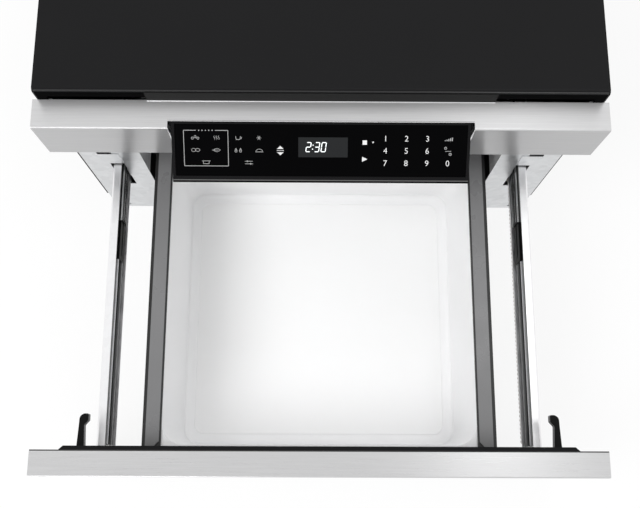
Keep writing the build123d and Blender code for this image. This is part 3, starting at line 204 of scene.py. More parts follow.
def brushed(name, colour, roughness, stretch=ALONG_X, contrast=0.06, scale=14.0, across=None):
    """Metal brushed along one axis; across is the direction in which its reflections smear."""
    finish = Finish(name, colour, roughness, metallic=1.0)
    if across:
        finish.set("Anisotropic", SMEAR)
        tangent = finish.node("ShaderNodeCombineXYZ")
        for axis, value in zip("XYZ", across):
            tangent.inputs[axis].default_value = value
        finish.link(tangent.outputs[0], finish.shader.inputs["Tangent"])
    grain = finish.noise(scale, stretch, detail=6.0, roughness=0.65)
    broad = finish.noise(1.6, stretch=(1, 2, 2), detail=1.0)
    mix = finish.node("ShaderNodeMix", data_type="FLOAT")
    mix.inputs[0].default_value = BROAD_SHARE
    finish.link(grain, mix.inputs[2])
    finish.link(broad, mix.inputs[3])
    finish.tint(mix.outputs[0], 1 - contrast, 1 + contrast, start=0.36, end=0.64)
    finish.vary_roughness(grain, amount=0.07)
    finish.bump(grain, depth=0.00004)
    return finish


def zinc(name, colour, roughness, scale=90.0, contrast=0.06):
    """Plated or galvanised sheet with a faint spangle."""
    finish = Finish(name, colour, roughness, metallic=1.0)
    spangle = finish.cells(scale)
    finish.tint(spangle.outputs["Color"], 1 - contrast, 1 + contrast, start=0.1, end=0.9)
    finish.vary_roughness(finish.noise(40.0), amount=0.06)
    finish.bump(finish.noise(300.0, detail=2.0), depth=0.00002)
    return finish


def paint(
    name, colour, roughness, specular, grain=900.0, depth=0.00006, contrast=0.12, uneven=0.05
):
    """Coat with a cloudy colour, a fine grain, and a roughness that varies by uneven."""
    finish = Finish(name, colour, roughness, specular=specular)
    finish.tint(finish.noise(7.0, detail=4.0), 1 - contrast, 1 + contrast)
    finish.vary_roughness(finish.noise(25.0), amount=uneven)
    finish.bump(finish.noise(grain, detail=2.0), depth)
    return finish


def moulded(
    name, colour, roughness, specular, grain=1400.0, depth=0.00002, contrast=0.03, uneven=0.04
):
    """Moulded plastic or rubber: a finer and more even coat."""
    return paint(name, colour, roughness, specular, grain, depth, contrast, uneven)


# stainless fronts: one direction for the smear suits both the upright and the level faces
UP_AND_BACK = (0.0, 0.707, 0.707)
STAINLESS = (0.60, 0.60, 0.605)
stainless = brushed("stainless_brushed", STAINLESS, roughness=0.32, across=UP_AND_BACK)

# bezel: painted shade makes its front face a little darker than its top; its rear flange is
# lacquered above the foot
BEZEL_PAINTED_SHADE = [(-78.0, 0.84), (-76.8, 0.84), (-76.2, 1.0), (-30.0, 1.0)]
FLANGE_FOOT, FOOT_BLEND = 405.0 * MM, 0.4 * MM
bezel_steel = brushed("bezel_brushed", STAINLESS, roughness=0.30, across=UP_AND_BACK)
bezel_steel.bands("Y", BEZEL_PAINTED_SHADE)
below_flange = bezel_steel.spread(
    bezel_steel.coordinate("Z"), 1.0, 0.0, FLANGE_FOOT, FLANGE_FOOT + FOOT_BLEND
)
bezel_steel.lacquer(below_flange, (0.008, 0.008, 0.008), roughness=0.45)
bezel_steel.set("Specular IOR Level", 0.15)
# painted highlights: a brighter copy of the stainless, for beads along bends and ribs
edge_highlight_steel = brushed("edge_highlight_steel", (0.86, 0.86, 0.87), roughness=0.22)

# slides: painted highlights on the folded lips and painted shade on the webs, as brightness by
# height (Z) and by distance from the middle of the part (X), both in millimetres
MIDDLE_BY_HEIGHT = [
    (158.0, 1.0), (163.0, 1.0), (165.0, 0.05), (193.8, 0.05), (195.4, 1.0), (200.0, 1.0),
]
MIDDLE_BY_WIDTH = [
    (297.0, 1.0), (301.6, 1.0), (302.4, 0.03), (304.4, 0.03), (305.2, 0.3), (307.0, 0.3),
]
INNER_BY_HEIGHT = [(158.0, 0.6), (189.6, 0.6), (190.2, 1.0), (200.0, 1.0)]
INNER_BY_WIDTH = [
    (302.0, 1.0), (304.0, 1.0), (304.5, 0.25), (305.4, 0.4), (306.2, 0.12), (311.0, 0.10),
]
slide_zinc = brushed(
    "slide_steel", (0.42, 0.43, 0.44), roughness=0.28, stretch=ALONG_Y, contrast=0.08
)
middle_steel = brushed(
    "middle_slide_steel", (0.88, 0.89, 0.90), roughness=0.26, stretch=ALONG_Y, contrast=0.08
)
middle_steel.bands("Z", MIDDLE_BY_HEIGHT)
middle_steel.bands("X", MIDDLE_BY_WIDTH)
middle_steel.set("Specular IOR Level", 0.0)
inner_steel = brushed(
    "inner_slide_steel", (0.86, 0.87, 0.88), roughness=0.24, stretch=ALONG_Y
)
inner_steel.bands("Z", INNER_BY_HEIGHT)
inner_steel.bands("X", INNER_BY_WIDTH)
inner_steel.set("Specular IOR Level", 0.1)
ball_steel = brushed(
    "ball_steel", (0.70, 0.70, 0.71), roughness=0.16, stretch=EVEN, contrast=0.05, scale=60.0
)
cage_black = moulded(
    "cage_black", (0.006, 0.006, 0.006), roughness=0.35, specular=0.01, uneven=0.02
)

# plated sheet and bright metal
galvanised = zinc("galvanised_sheet", (0.66, 0.67, 0.68), roughness=0.34)
channel_bright = zinc(
    "bright_zinc", (0.90, 0.90, 0.91), roughness=0.34, scale=140.0, contrast=0.02
)
motor_steel = zinc("motor_steel", (0.50, 0.51, 0.53), roughness=0.34)
screw_zinc = zinc("screw_zinc", (0.72, 0.72, 0.70), roughness=0.24, scale=400.0)
aluminium = brushed(
    "aluminium_bright", (0.80, 0.81, 0.82), roughness=0.30, stretch=ALONG_Y, contrast=0.05
)

# cavity: painted shade, dull black on the walls below a given height, and bare sheet above it
PAINTED_SHADE_TOP, SHADE_BLEND = 183.0 * MM, 1.0 * MM
cavity_steel = zinc("cavity_steel", (0.80, 0.80, 0.81), roughness=0.45)
above_painted_shade = cavity_steel.spread(
    cavity_steel.coordinate("Z"), 0.0, 1.0, PAINTED_SHADE_TOP, PAINTED_SHADE_TOP + SHADE_BLEND
)
cavity_steel.lacquer(above_painted_shade, (0.004, 0.004, 0.004), roughness=0.6, shine=0.2)
cavity_steel.set("Specular IOR Level", 0.05)

# painted and enamelled sheet
case_black = paint(
    "case_black_paint", (0.005, 0.005, 0.0055), roughness=0.40, specular=0.15,
    contrast=0.06, uneven=0.02,
)
fold_black = paint(
    "fold_black_paint", (0.006, 0.006, 0.0065), roughness=0.22, specular=0.45,
    contrast=0.06, uneven=0.02,
)
flange_grey = paint(
    "flange_grey", (0.16, 0.16, 0.163), roughness=0.30, specular=0.5,
    grain=1200.0, depth=0.00002, contrast=0.06,
)
enamel_grey = paint("enamel_grey", (0.36, 0.36, 0.36), roughness=0.32, specular=0.5)

# plastics, glass, rubber and foam
tub_white = moulded(
    "tub_white", (0.92, 0.92, 0.925), roughness=0.34, specular=0.25,
    grain=500.0, depth=0.000002, contrast=0.004, uneven=0.01,
)
tray_white = moulded(
    "tray_white", (0.93, 0.93, 0.93), roughness=0.32, specular=0.25,
    grain=400.0, depth=0.000002, contrast=0.003, uneven=0.01,
)
glass_black = moulded(
    "panel_glass_black", (0.0010, 0.0010, 0.0012), roughness=0.09, specular=0.02,
    grain=300.0, depth=0.000004, contrast=0.10, uneven=0.0,
)
display_dark = moulded("display_dark", (0.019, 0.020, 0.021), roughness=0.22, specular=0.04)
panel_black = moulded(
    "panel_black", (0.005, 0.005, 0.0055), roughness=0.30, specular=0.10, uneven=0.02
)
# painted highlight: lighter grey for the bead on the panel's lip
lip_highlight_grey = moulded("lip_highlight_grey", (0.11, 0.11, 0.11), roughness=0.3, specular=0.4, uneven=0.0)
inner_black = moulded(
    "inner_plate_black", (0.004, 0.004, 0.0045), roughness=0.16, specular=0.12
)
frame_black = moulded("frame_black", (0.02, 0.02, 0.02), roughness=0.55, specular=0.3)
trim_black = moulded("trim_black", (0.010, 0.010, 0.010), roughness=0.35, specular=0.4)
hook_black = moulded(
    "hook_black", (0.003, 0.003, 0.003), roughness=0.14, specular=0.10, uneven=0.0
)
# painted shade: matt black for the line under the panel's lip and the frame on the case's front
painted_shade_black = moulded(
    "painted_shade_black", (0.0015, 0.0015, 0.0016), roughness=0.8, specular=0.02,
    grain=300.0, depth=0.0001,
)
rubber = moulded(
    "foot_rubber", (0.012, 0.012, 0.012), roughness=0.75, specular=0.2,
    grain=700.0, depth=0.00008,
)
nylon = moulded("nylon_natural", (0.70, 0.69, 0.64), roughness=0.42, specular=0.5)
cover_white = moulded(
    "stirrer_cover_white", (0.76, 0.75, 0.71), roughness=0.5, specular=0.4
)
fan_grey = moulded("fan_grey", (0.05, 0.05, 0.053), roughness=0.5, specular=0.4)

# electrical parts
board = Finish("circuit_board", (0.012, 0.075, 0.035), roughness=0.35)
tracks = board.cells(260.0, stretch=(1, 1, 0.4), feature="DISTANCE_TO_EDGE")
board.tint(tracks.outputs["Distance"], 0.7, 1.8, start=0.02, end=0.06)
board.bump(board.cells(120.0).outputs["Distance"], depth=0.0002)

copper = Finish("enamelled_copper", (0.50, 0.20, 0.08), roughness=0.28, metallic=1.0)
turns = copper.wave(330.0, "Z", distortion=0.6)
copper.tint(turns, 0.55, 1.15, start=0.2, end=0.9)
copper.bump(turns, depth=0.0004)

core_iron = Finish("core_laminations", (0.16, 0.16, 0.17), roughness=0.45, metallic=0.8)
plates = core_iron.wave(500.0, "X", distortion=0.3)
core_iron.tint(plates, 0.6, 1.2, start=0.2, end=0.8)
core_iron.bump(plates, depth=0.0002)

USES = {
    stainless: ["door_skin"],
    bezel_steel: ["bezel"],
    case_black: ["outer_case"],
    galvanised: [
        "front_plate", "rail_guides", "base_plate", "rear_panel", "slide_mounts",
        "interlock_brackets", "capacitor_clamp",
    ],
    channel_bright: ["rail_channel_left", "rail_channel_right"],
    slide_zinc: ["slide_outer_left", "slide_outer_right"],
    middle_steel: ["slide_middle_left", "slide_middle_right"],
    inner_steel: ["slide_inner_left", "slide_inner_right"],
    cage_black: ["ball_cages_inner"],
    inner_black: ["door_inner_plate"],
    frame_black: ["door_frame"],
    tub_white: ["drawer_tub"],
    tray_white: ["floor_tray"],
    flange_grey: ["side_flanges"],
    trim_black: ["flange_trims", "cord_gland"],
    hook_black: ["latch_hooks"],
    ball_steel: ["ball_cages_outer"],
    panel_black: ["panel_housing", "interlock_switches", "drive_gearbox", "hinge_brackets"],
    glass_black: ["panel_glass"],
    display_dark: ["display_module"],
    board: ["control_board", "filter_board"],
    nylon: [
        "drive_rack", "drive_pinion", "panel_gear",
        "interlock_plunger_left", "interlock_plunger_right",
    ],
    motor_steel: ["drive_motor", "panel_motor", "stirrer_motor", "fan_motor", "oven_lamp"],
    copper: ["transformer_windings"],
    core_iron: ["transformer_core"],
    aluminium: ["magnetron", "capacitor", "stirrer"],
    enamel_grey: ["waveguide"],
    cavity_steel: ["cavity_shell"],
    cover_white: ["stirrer_cover"],
    fan_grey: ["fan_wheel", "fan_shroud", "air_duct"],
    rubber: ["base_feet"],
    screw_zinc: ["chassis_screws", "drawer_screws"],
}
for finish, names in USES.items():
    for name in names:
        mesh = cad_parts[name].data
        mesh.materials.clear()
        mesh.materials.append(finish.material)

# ----------------------------------------------------------------------- panel markings

# the panel at rest: its hinge line, its tilt, and how far its glass stands in front of the hinge
HINGE = Vector((0, -65.0, 395.8)) * MM
PANEL_TILT = math.radians(60)
PANEL_UP = Vector((0, math.sin(PANEL_TILT), math.cos(PANEL_TILT)))
PANEL_OUT = Vector((0, -math.cos(PANEL_TILT), math.sin(PANEL_TILT)))
GLASS_FACE = 6.0 * MM
MARK_THICKNESS = 0.12 * MM

white_mark = moulded("mark_white", (0.70, 0.70, 0.70), roughness=0.5, specular=0.3)
grey_mark = moulded("mark_grey", (0.36, 0.36, 0.36), roughness=0.5, specular=0.3)
lit_mark = Finish("display_digits", (0.75, 0.78, 0.78), roughness=0.4)
lit_mark.set("Emission Color", (0.85, 0.9, 0.9, 1))
lit_mark.set("Emission Strength", 0.55)
lit_mark.tint(lit_mark.noise(800.0), 0.9, 1.1)


def solid(name, work, finish, body):
    """Piece made from a bmesh, riding on a body."""
    data = bpy.data.meshes.new(name)
    bmesh.ops.recalc_face_normals(work, faces=work.faces)
    work.to_mesh(data)
    work.free()
    data.materials.append(finish.material)
    piece = bpy.data.objects.new(name, data)
    scene.collection.objects.link(piece)
    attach(piece, body)


def on_panel(x, height, out=0.0):
    """Point on the glass, x and height in millimetres from the hinge's middle, out in metres."""
    return HINGE + Vector((x * MM, 0, 0)) + PANEL_UP * height * MM + PANEL_OUT * (GLASS_FACE + out)


class Marks:
    """Thin closed plates on the panel's glass, gathered into one mesh.

    Places and sizes are in millimetres, and out, how far they stand off the glass, in metres.
    """

    def __init__(self, name, finish, slot="panel_glass", out=0.0):
        self.mesh = bmesh.new()
        self.name, self.finish, self.slot, self.out = name, finish, slot, out

    def plate(self, points):
        """Closed plate over (x, height) points given anticlockwise."""
        top = self.out + MARK_THICKNESS
        low = [self.mesh.verts.new(on_panel(x, h, self.out)) for x, h in points]
        high = [self.mesh.verts.new(on_panel(x, h, top)) for x, h in points]
        self.mesh.faces.new(low[::-1])
        self.mesh.faces.new(high)
        for i in range(len(points)):
            j = (i + 1) % len(points)
            self.mesh.faces.new((low[i], low[j], high[j], high[i]))

    def bar(self, x, height, width, tall):
        a, b = width / 2, tall / 2
        left, right, low, high = x - a, x + a, height - b, height + b
        self.plate([(left, low), (right, low), (right, high), (left, high)])

    def ring(self, x, height, radius, line, parts=20):
        """Round line, as short plates that meet."""
        for i in range(parts):
            a, b = (2 * math.pi * k / parts for k in (i, i + 1))
            corners = [(radius - line, a), (radius, a), (radius, b), (radius - line, b)]
            self.plate([(x + r * math.cos(t), height + r * math.sin(t)) for r, t in corners])

    def disc(self, x, height, radius, parts=20):
        turns = [2 * math.pi * k / parts for k in range(parts)]
        self.plate([(x + radius * math.cos(t), height + radius * math.sin(t)) for t in turns])

    def stroke(self, a, b, line):
        """Straight line from a to b."""
        dx, dy = b[0] - a[0], b[1] - a[1]
        length = math.hypot(dx, dy)
        nx, ny = -dy / length * line / 2, dx / length * line / 2
        below = [(x - nx, y - ny) for x, y in (a, b)]
        above = [(x + nx, y + ny) for x, y in (b, a)]
        self.plate(below + above)

    def path(self, points, line):
        """Connected straight strokes through the points, with round joints."""
        for a, b in zip(points, points[1:]):
            self.stroke(a, b, line)
        for x, height in points[1:-1]:
            self.disc(x, height, line / 2, parts=8)

    def oval(self, x, height, half_wide, half_tall, line, parts=16):
        """Line round an oval."""
        turns = [2 * math.pi * k / parts for k in range(parts + 1)]
        points = [
            (x + half_wide * math.cos(t), height + half_tall * math.sin(t)) for t in turns
        ]
        self.path(points, line)

    def done(self):
        solid(self.name, self.mesh, self.finish, "panel")


# figures of the number keys: places and height in millimetres; the typeface needs a size of
# TYPE_SCALE for figures of height 1, and its strokes are thinned on each side
KEY_COLUMNS = (85.0, 112.7, 140.3)
KEY_ROWS = (-19.3, -35.5, -52.0)
ZERO_COLUMN = 167.9
FIGURE_SIZE = 7.9
TYPE_SCALE = 1.38
FIGURE_THINNING = -0.05 * MM
WELD = 0.002 * MM


def key_figure(text, x, height):
    """One printed figure as a thin solid on the glass."""
    name = f"key_figure_{text}"
    curve = bpy.data.curves.new(name, "FONT")
    curve.body = text
    curve.size = FIGURE_SIZE * MM * TYPE_SCALE
    curve.align_x = "CENTER"
    curve.align_y = "CENTER"
    curve.extrude = MARK_THICKNESS / 2
    curve.offset = FIGURE_THINNING
    curve.resolution_u = 4
    letter = bpy.data.objects.new(name, curve)
    scene.collection.objects.link(letter)
    bpy.context.view_layer.update()
    depsgraph = bpy.context.evaluated_depsgraph_get()
    flat = bpy.data.meshes.new_from_object(letter.evaluated_get(depsgraph))
    bpy.data.objects.remove(letter)
    bpy.data.curves.remove(curve)
    place = Matrix((Vector((1, 0, 0)), PANEL_UP, PANEL_OUT)).transposed().to_4x4()
    place.translation = on_panel(x, height, MARK_THICKNESS / 2)
    flat.transform(place)
    work = bmesh.new()
    work.from_mesh(flat)
    bpy.data.meshes.remove(flat)
    bmesh.ops.remove_doubles(work, verts=work.verts, dist=WELD)
    solid(name, work, white_mark, "panel")


for number in range(1, 10):
    row, column = divmod(number - 1, 3)
    key_figure(str(number), KEY_COLUMNS[column], KEY_ROWS[row])
key_figure("0", ZERO_COLUMN, KEY_ROWS[2])

marks = Marks("key_marks", grey_mark)

# frame of five quick keys, with a row of dots in the gap of its top line; LINE is the width of
# its lines and THIN that of the pictograms
FRAME_LEFT, FRAME_RIGHT, FRAME_TOP, FRAME_BOTTOM = -180.9, -122.6, -9.3, -56.5
GAP_LEFT, GAP_RIGHT = -164.5, -139.5
DOT_MIDDLE, DOT_PITCH, DOT_RADIUS = -152.0, 4.4, 0.8
LINE = 0.75
THIN = 0.6
marks.path([(GAP_LEFT, FRAME_TOP), (FRAME_LEFT, FRAME_TOP), (FRAME_LEFT, FRAME_BOTTOM)], LINE)
marks.path([(GAP_RIGHT, FRAME_TOP), (FRAME_RIGHT, FRAME_TOP), (FRAME_RIGHT, FRAME_BOTTOM)], LINE)
marks.path([(FRAME_LEFT, FRAME_BOTTOM), (FRAME_RIGHT, FRAME_BOTTOM)], LINE)
for step in range(-2, 3):
    marks.disc(DOT_MIDDLE + step * DOT_PITCH, FRAME_TOP, DOT_RADIUS)


# pictograms of the other keys, each drawn about its own middle (x, h)
def thin_line(x, h, points):
    marks.path([(x + dx, h + dh) for dx, dh in points], THIN)


def kernels(x, h):
    for dx, dh in ((-3.6, -0.9), (0.0, 0.9), (3.6, -0.9)):
        marks.ring(x + dx, h + dh, radius=1.7, line=THIN)


def waves(x, h, pitch=2.875, swing=0.8):
    """Three short waves side by side."""
    for dx in (-pitch, 0.0, pitch):
        wave = [(dx + swing * math.sin(k * math.pi / 3), -2.4 + 0.8 * k) for k in range(7)]
        thin_line(x, h, wave)


def cup(x, h):
    thin_line(x, h, [(-3.2, 2.0), (-2.4, -2.2), (2.4, -2.2), (3.2, 2.0)])
    thin_line(x, h, [(3.0, 1.2), (4.8, 0.8), (4.4, -1.0), (2.6, -1.2)])


def flake(x, h, radius=2.9):
    for turn in range(3):
        dx = radius * math.cos(turn * math.pi / 3)
        dh = radius * math.sin(turn * math.pi / 3)
        marks.stroke((x - dx, h - dh), (x + dx, h + dh), THIN)


def tuber(x, h):
    for dx in (-2.6, 2.6):
        marks.oval(x + dx, h, half_wide=3.0, half_tall=2.0, line=THIN)


def leaf(x, h, half=4.6, belly=2.2):
    for side in (1, -1):
        edge = [
            (-half + 2 * half * k / 8, side * belly * math.sin(math.pi * k / 8)) for k in range(9)
        ]
        thin_line(x, h, edge)
    marks.stroke((x - 6.2, h), (x + 2.2, h), THIN)


def drop(x, h):
    thin_line(x, h, [(-1.5, -0.6), (0.0, 2.6), (1.5, -0.6)])
    marks.ring(x, h - 1.2, radius=1.7, line=THIN)


def two_drops(x, h):
    for dx in (-3.0, 3.0):
        drop(x + dx, h)


def lid(x, h, half=4.4, rise=3.0):
    arch = [
        (half * math.cos(k * math.pi / 8), -1.4 + rise * math.sin(k * math.pi / 8))
        for k in range(9)
    ]
    thin_line(x, h, arch)
    marks.bar(x, h - 2.1, width=10.6, tall=THIN)


def pot(x, h):
    thin_line(x, h, [(-3.8, 1.6), (-3.8, -2.2), (3.8, -2.2), (3.8, 1.6)])
    marks.bar(x, h + 1.6, width=11.2, tall=THIN)


def sliders(x, h):
    """Two set lines, each with its knob."""
    for dh, knob in ((1.7, -2.0), (-1.7, 2.4)):
        marks.bar(x, h + dh, width=10.4, tall=THIN)
        marks.disc(x + knob, h + dh, radius=1.1)


def steps(x, h, half=4.6):
    """Bars that grow from left to right."""
    for k in range(5):
        tall = 1.0 + 0.9 * k
        marks.bar(x - half + k * half / 2, h - 2.3 + tall / 2, width=1.3, tall=tall)


def dial(x, h, radius=1.9):
    marks.ring(x, h, radius, THIN)
    thin_line(x, h, [(0.0, radius * 0.6), (0.0, 0.0), (radius * 0.5, 0.0)])


def two_dials(x, h):
    """A dial on each side of a short line."""
    marks.bar(x, h, width=8.0, tall=THIN)
    dial(x - 3.4, h + 4.1)
    dial(x + 3.0, h - 4.0)


for pictogram, x, height in (
    (kernels, -165.8, -18.7),
    (waves, -137.6, -18.8),
    (cup, -109.4, -19.0),
    (flake, -81.9, -18.9),
    (tuber, -165.6, -35.3),
    (leaf, -137.6, -35.3),
    (two_drops, -109.4, -35.3),
    (lid, -81.6, -35.3),
    (pot, -152.0, -51.4),
    (sliders, -95.6, -51.7),
    (steps, 168.3, -19.5),
    (two_dials, 168.0, -35.4),
):
    pictogram(x, height)
marks.done()

# the drawer's two arrows with a line between them, the stop square with its dot, and the arrow
# that starts the oven
DRAWER_X, DRAWER_HEIGHT = -53.8, -35.6
ARROW_HALF, ARROW_TIP, ARROW_FOOT = 4.4, 6.2, 2.2
START_ARROW = [(54.4, -49.8), (61.4, -46.5), (54.4, -43.2)]
bold = Marks("main_key_marks", white_mark)
for sign in (1, -1):
    foot, tip = DRAWER_HEIGHT + sign * ARROW_FOOT, DRAWER_HEIGHT + sign * ARROW_TIP
    ends = [(DRAWER_X - ARROW_HALF, foot), (DRAWER_X + ARROW_HALF, foot), (DRAWER_X, tip)]
    bold.plate(ends[::sign])
bold.bar(DRAWER_X, DRAWER_HEIGHT, width=9.4, tall=THIN)
bold.bar(57.6, -24.3, width=5.8, tall=5.8)
bold.disc(68.5, -23.9, radius=1.0)
bold.plate(START_ARROW)
bold.done()

# display window and its seven-segment figures, which lean by SLANT
window = Marks("display_window", display_dark, slot="display_dark")
window.bar(2.6, -31.0, width=65.2, tall=26.4)
window.done()

figures = Marks("display_figures", lit_mark, slot="display_dark", out=MARK_THICKNESS)
SEGMENTS = {"2": "abged", "3": "abgcd", "0": "abcdef"}
FIGURE_TALL, FIGURE_WIDE, SLANT, STROKE, SEGMENT_GAP = 12.2, 5.6, 0.14, 1.15, 0.35
FIGURES_HIGH = -30.7
COLON_X, COLON_LIFT, COLON_RADIUS = -10.9, 2.6, 0.75


def seven_segment(figure, x):
    half, side = FIGURE_TALL / 2, FIGURE_WIDE / 2
    ends = {
        "a": ((-side, half), (side, half)),
        "g": ((-side, 0), (side, 0)),
        "d": ((-side, -half), (side, -half)),
        "f": ((-side, 0), (-side, half)),
        "b": ((side, 0), (side, half)),
        "e": ((-side, -half), (-side, 0)),
        "c": ((side, -half), (side, 0)),
    }
    for key in SEGMENTS[figure]:
        a, b = (Vector(p) for p in ends[key])
        gap = (b - a).normalized() * SEGMENT_GAP
        a, b = ((x + p.x + p.y * SLANT, FIGURES_HIGH + p.y) for p in (a + gap, b - gap))
        figures.stroke(a, b, STROKE)


for figure, x in (("2", -16.6), ("3", -5.2), ("0", 3.4)):
    seven_segment(figure, x)
for lift in (-COLON_LIFT, COLON_LIFT):
    figures.disc(COLON_X + lift * SLANT, FIGURES_HIGH + lift, COLON_RADIUS)
figures.done()

# ------------------------------------------------------------------- edges, seals and fillets


def beads(name, lines, radius, finish, body, sides=8):
    """Round closed beads along straight lines, given by their ends in millimetres."""
    work = bmesh.new()
    for start, end in lines:
        start, end = Vector(start) * MM, Vector(end) * MM
        along = end - start
        turn = along.to_track_quat("Z", "Y").to_matrix().to_4x4()
        bmesh.ops.create_cone(
            work, cap_ends=True, segments=sides, radius1=radius * MM, radius2=radius * MM,
            depth=along.length, matrix=Matrix.Translation((start + end) / 2) @ turn,
        )
    solid(name, work, finish, body)


def slabs(name, boxes, finish, body):
    """Closed blocks given by their X, Y and Z spans in millimetres."""
    work = bmesh.new()
    for spans in boxes:
        centre = Vector([(low + high) / 2 for low, high in spans]) * MM
        size = Vector([high - low for low, high in spans]) * MM
        place = Matrix.Translation(centre) @ Matrix.Diagonal(size).to_4x4()
        bmesh.ops.create_cube(work, size=1.0, matrix=place)
    solid(name, work, finish, body)


def corners(node):
    """Lowest and highest corner of a node at rest, in millimetres."""
    low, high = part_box(node)
    return [value / MM for value in low], [value / MM for value in high]


# bright edges of the bezel's cut-out and of its flange's foot: brighter steel that paints the
# highlights on these bends
(_, BEZEL_FRONT, BEZEL_LOW), (_, BEZEL_REAR, _) = corners("bezel")
BEZEL_TOP = 404.0
CUT_HALF = 201.0
CUT_FRONT = BEZEL_FRONT + 11.0
SIDE_EDGE, SIDE_LOW, SIDE_TOP = BEZEL_FRONT + 0.5, BEZEL_LOW + 1.0, BEZEL_TOP - 1.5
FLANGE_HALF = 229.0
FLANGE_FACE = BEZEL_REAR - 1.2
FOOT_HEIGHT = BEZEL_TOP + 0.3
EDGE_RADIUS, FOOT_RADIUS = 0.85, 0.8
cut_edges = [((-CUT_HALF, CUT_FRONT, BEZEL_TOP), (CUT_HALF, CUT_FRONT, BEZEL_TOP))]
for x in (-CUT_HALF, CUT_HALF):
    cut_edges.append(((x, SIDE_EDGE, SIDE_LOW), (x, SIDE_EDGE, SIDE_TOP)))
beads("bezel_cut_edges", cut_edges, EDGE_RADIUS, edge_highlight_steel, "chassis")
foot_line = [(x, FLANGE_FACE, FOOT_HEIGHT) for x in (-FLANGE_HALF, FLANGE_HALF)]
beads("bezel_flange_foot", [foot_line], FOOT_RADIUS, edge_highlight_steel, "chassis")

# moulded bead along the foot of the panel, lighter grey as a painted highlight, and the dull line
# below it, a painted shadow
LIP_HALF = 196.2
BEAD_RADIUS, SHADOW_RADIUS = 0.75, 1.3


def lip_line(height, out):
    """Line across the panel, from its height and its distance off the glass in millimetres."""
    return [on_panel(x, height, out * MM) / MM for x in (-LIP_HALF, LIP_HALF)]


lip_bead, lip_shadow = lip_line(height=-75.4, out=-0.3), lip_line(height=-77.3, out=-0.9)
beads("panel_lip_bead", [lip_bead], BEAD_RADIUS, lip_highlight_grey, "panel")
beads("panel_lip_shadow", [lip_shadow], SHADOW_RADIUS, painted_shade_black, "panel")

# soft white fillet between the tray and the walls of the tub: its section as (outward, up)
# points from the tray's upper edge
TRAY_LOW, TRAY_HIGH = corners("floor_tray")
TRAY_CORNER, TUB_CORNER = 16.0, 23.0
FILLET_REACH = 14.0
FILLET = [(-1.8, 0.04), (2.0, 0.12), (5.0, 0.5), (8.0, 1.25), (11.0, 2.5), (FILLET_REACH, 4.5)]
UNDERSIDE = [(14.6, 4.2), (11.0, 0.1), (6.0, -3.0), (0.8, -3.9), (-1.8, -0.6)]
CORNER_STEPS = 10


def tray_fillet():
    """Closed ring that follows the tray's edge."""
    centre = [(low + high) / 2 for low, high in zip(TRAY_LOW, TRAY_HIGH)]
    half = [(high - low) / 2 for low, high in zip(TRAY_LOW, TRAY_HIGH)]
    widening = TUB_CORNER - FILLET_REACH - TRAY_CORNER
    work = bmesh.new()
    loops = []
    for out, up in FILLET + UNDERSIDE:
        radius = TRAY_CORNER + out + widening * max(out, 0.0) / FILLET_REACH
        loop = []
        for quarter, (sign_x, sign_y) in enumerate([(1, 1), (-1, 1), (-1, -1), (1, -1)]):
            for step in range(CORNER_STEPS + 1):
                turn = math.radians(90 * (quarter + step / CORNER_STEPS))
                x = centre[0] + sign_x * (half[0] + out - radius) + radius * math.cos(turn)
                y = centre[1] + sign_y * (half[1] + out - radius) + radius * math.sin(turn)
                loop.append(work.verts.new(Vector((x, y, TRAY_HIGH[2] + up)) * MM))
        loops.append(loop)
    for near, far in zip(loops, loops[1:] + loops[:1]):
        for i in range(len(near)):
            j = (i + 1) % len(near)
            work.faces.new((near[i], near[j], far[j], far[i]))
    for face in work.faces:
        face.smooth = True
    solid("tray_fillet", work, tub_white, "drawer")


tray_fillet()

# rolled ribs along the inner face of the middle slide members, in brighter steel as painted
# highlights
RIB_RADIUS, RIB_PROUD, RIB_INSET = 0.6, 0.2, 3.0
RIB_HEIGHTS = (171.0, 184.0)
(WEB_FACE, MIDDLE_FRONT, _), (_, MIDDLE_REAR, _) = corners("slide_middle_right")
for side, name in ((-1, "slide_ribs_left"), (1, "slide_ribs_right")):
    x = side * (WEB_FACE - RIB_PROUD + RIB_RADIUS)
    front, rear = MIDDLE_FRONT + RIB_INSET, MIDDLE_REAR - RIB_INSET
    ribs = [((x, front, z), (x, rear, z)) for z in RIB_HEIGHTS]
    beads(name, ribs, RIB_RADIUS, edge_highlight_steel, "slide_middles")

# bead over the case's front fold, and painted shade in matt black on the case's front edge
(_, CASE_FRONT, _), (CASE_HALF, _, CASE_TOP) = corners("outer_case")
FOLD, FOLD_SUNK = 1.3, 0.05
FOLD_HALF = CASE_HALF - 2.5
fold_line = [(x, CASE_FRONT + FOLD, CASE_TOP - FOLD) for x in (-FOLD_HALF, FOLD_HALF)]
beads("case_fold", [fold_line], FOLD - FOLD_SUNK, fold_black, "chassis", sides=16)

# painted shade: a matt black frame over the case's front face
FRONT_SHADE_WIDTH = 13.0
FRONT_SHADE_HALF = CASE_HALF - 2.0
FRONT_SHADE_SPAN = (CASE_FRONT - 0.35, CASE_FRONT + 0.15)
FRONT_SHADE_TOP, FRONT_SHADE_LOW = CASE_TOP - 5.0, 4.0
upright = (FRONT_SHADE_LOW, FRONT_SHADE_TOP - FRONT_SHADE_WIDTH)
slabs(
    "case_front_shade",
    [
        ((-FRONT_SHADE_HALF, FRONT_SHADE_HALF), FRONT_SHADE_SPAN, (FRONT_SHADE_TOP - FRONT_SHADE_WIDTH, FRONT_SHADE_TOP)),
        ((-FRONT_SHADE_HALF, -FRONT_SHADE_HALF + FRONT_SHADE_WIDTH), FRONT_SHADE_SPAN, upright),
        ((FRONT_SHADE_HALF - FRONT_SHADE_WIDTH, FRONT_SHADE_HALF), FRONT_SHADE_SPAN, upright),
    ],
    painted_shade_black, "chassis",
)

# ------------------------------------------------------------------------ floor and light


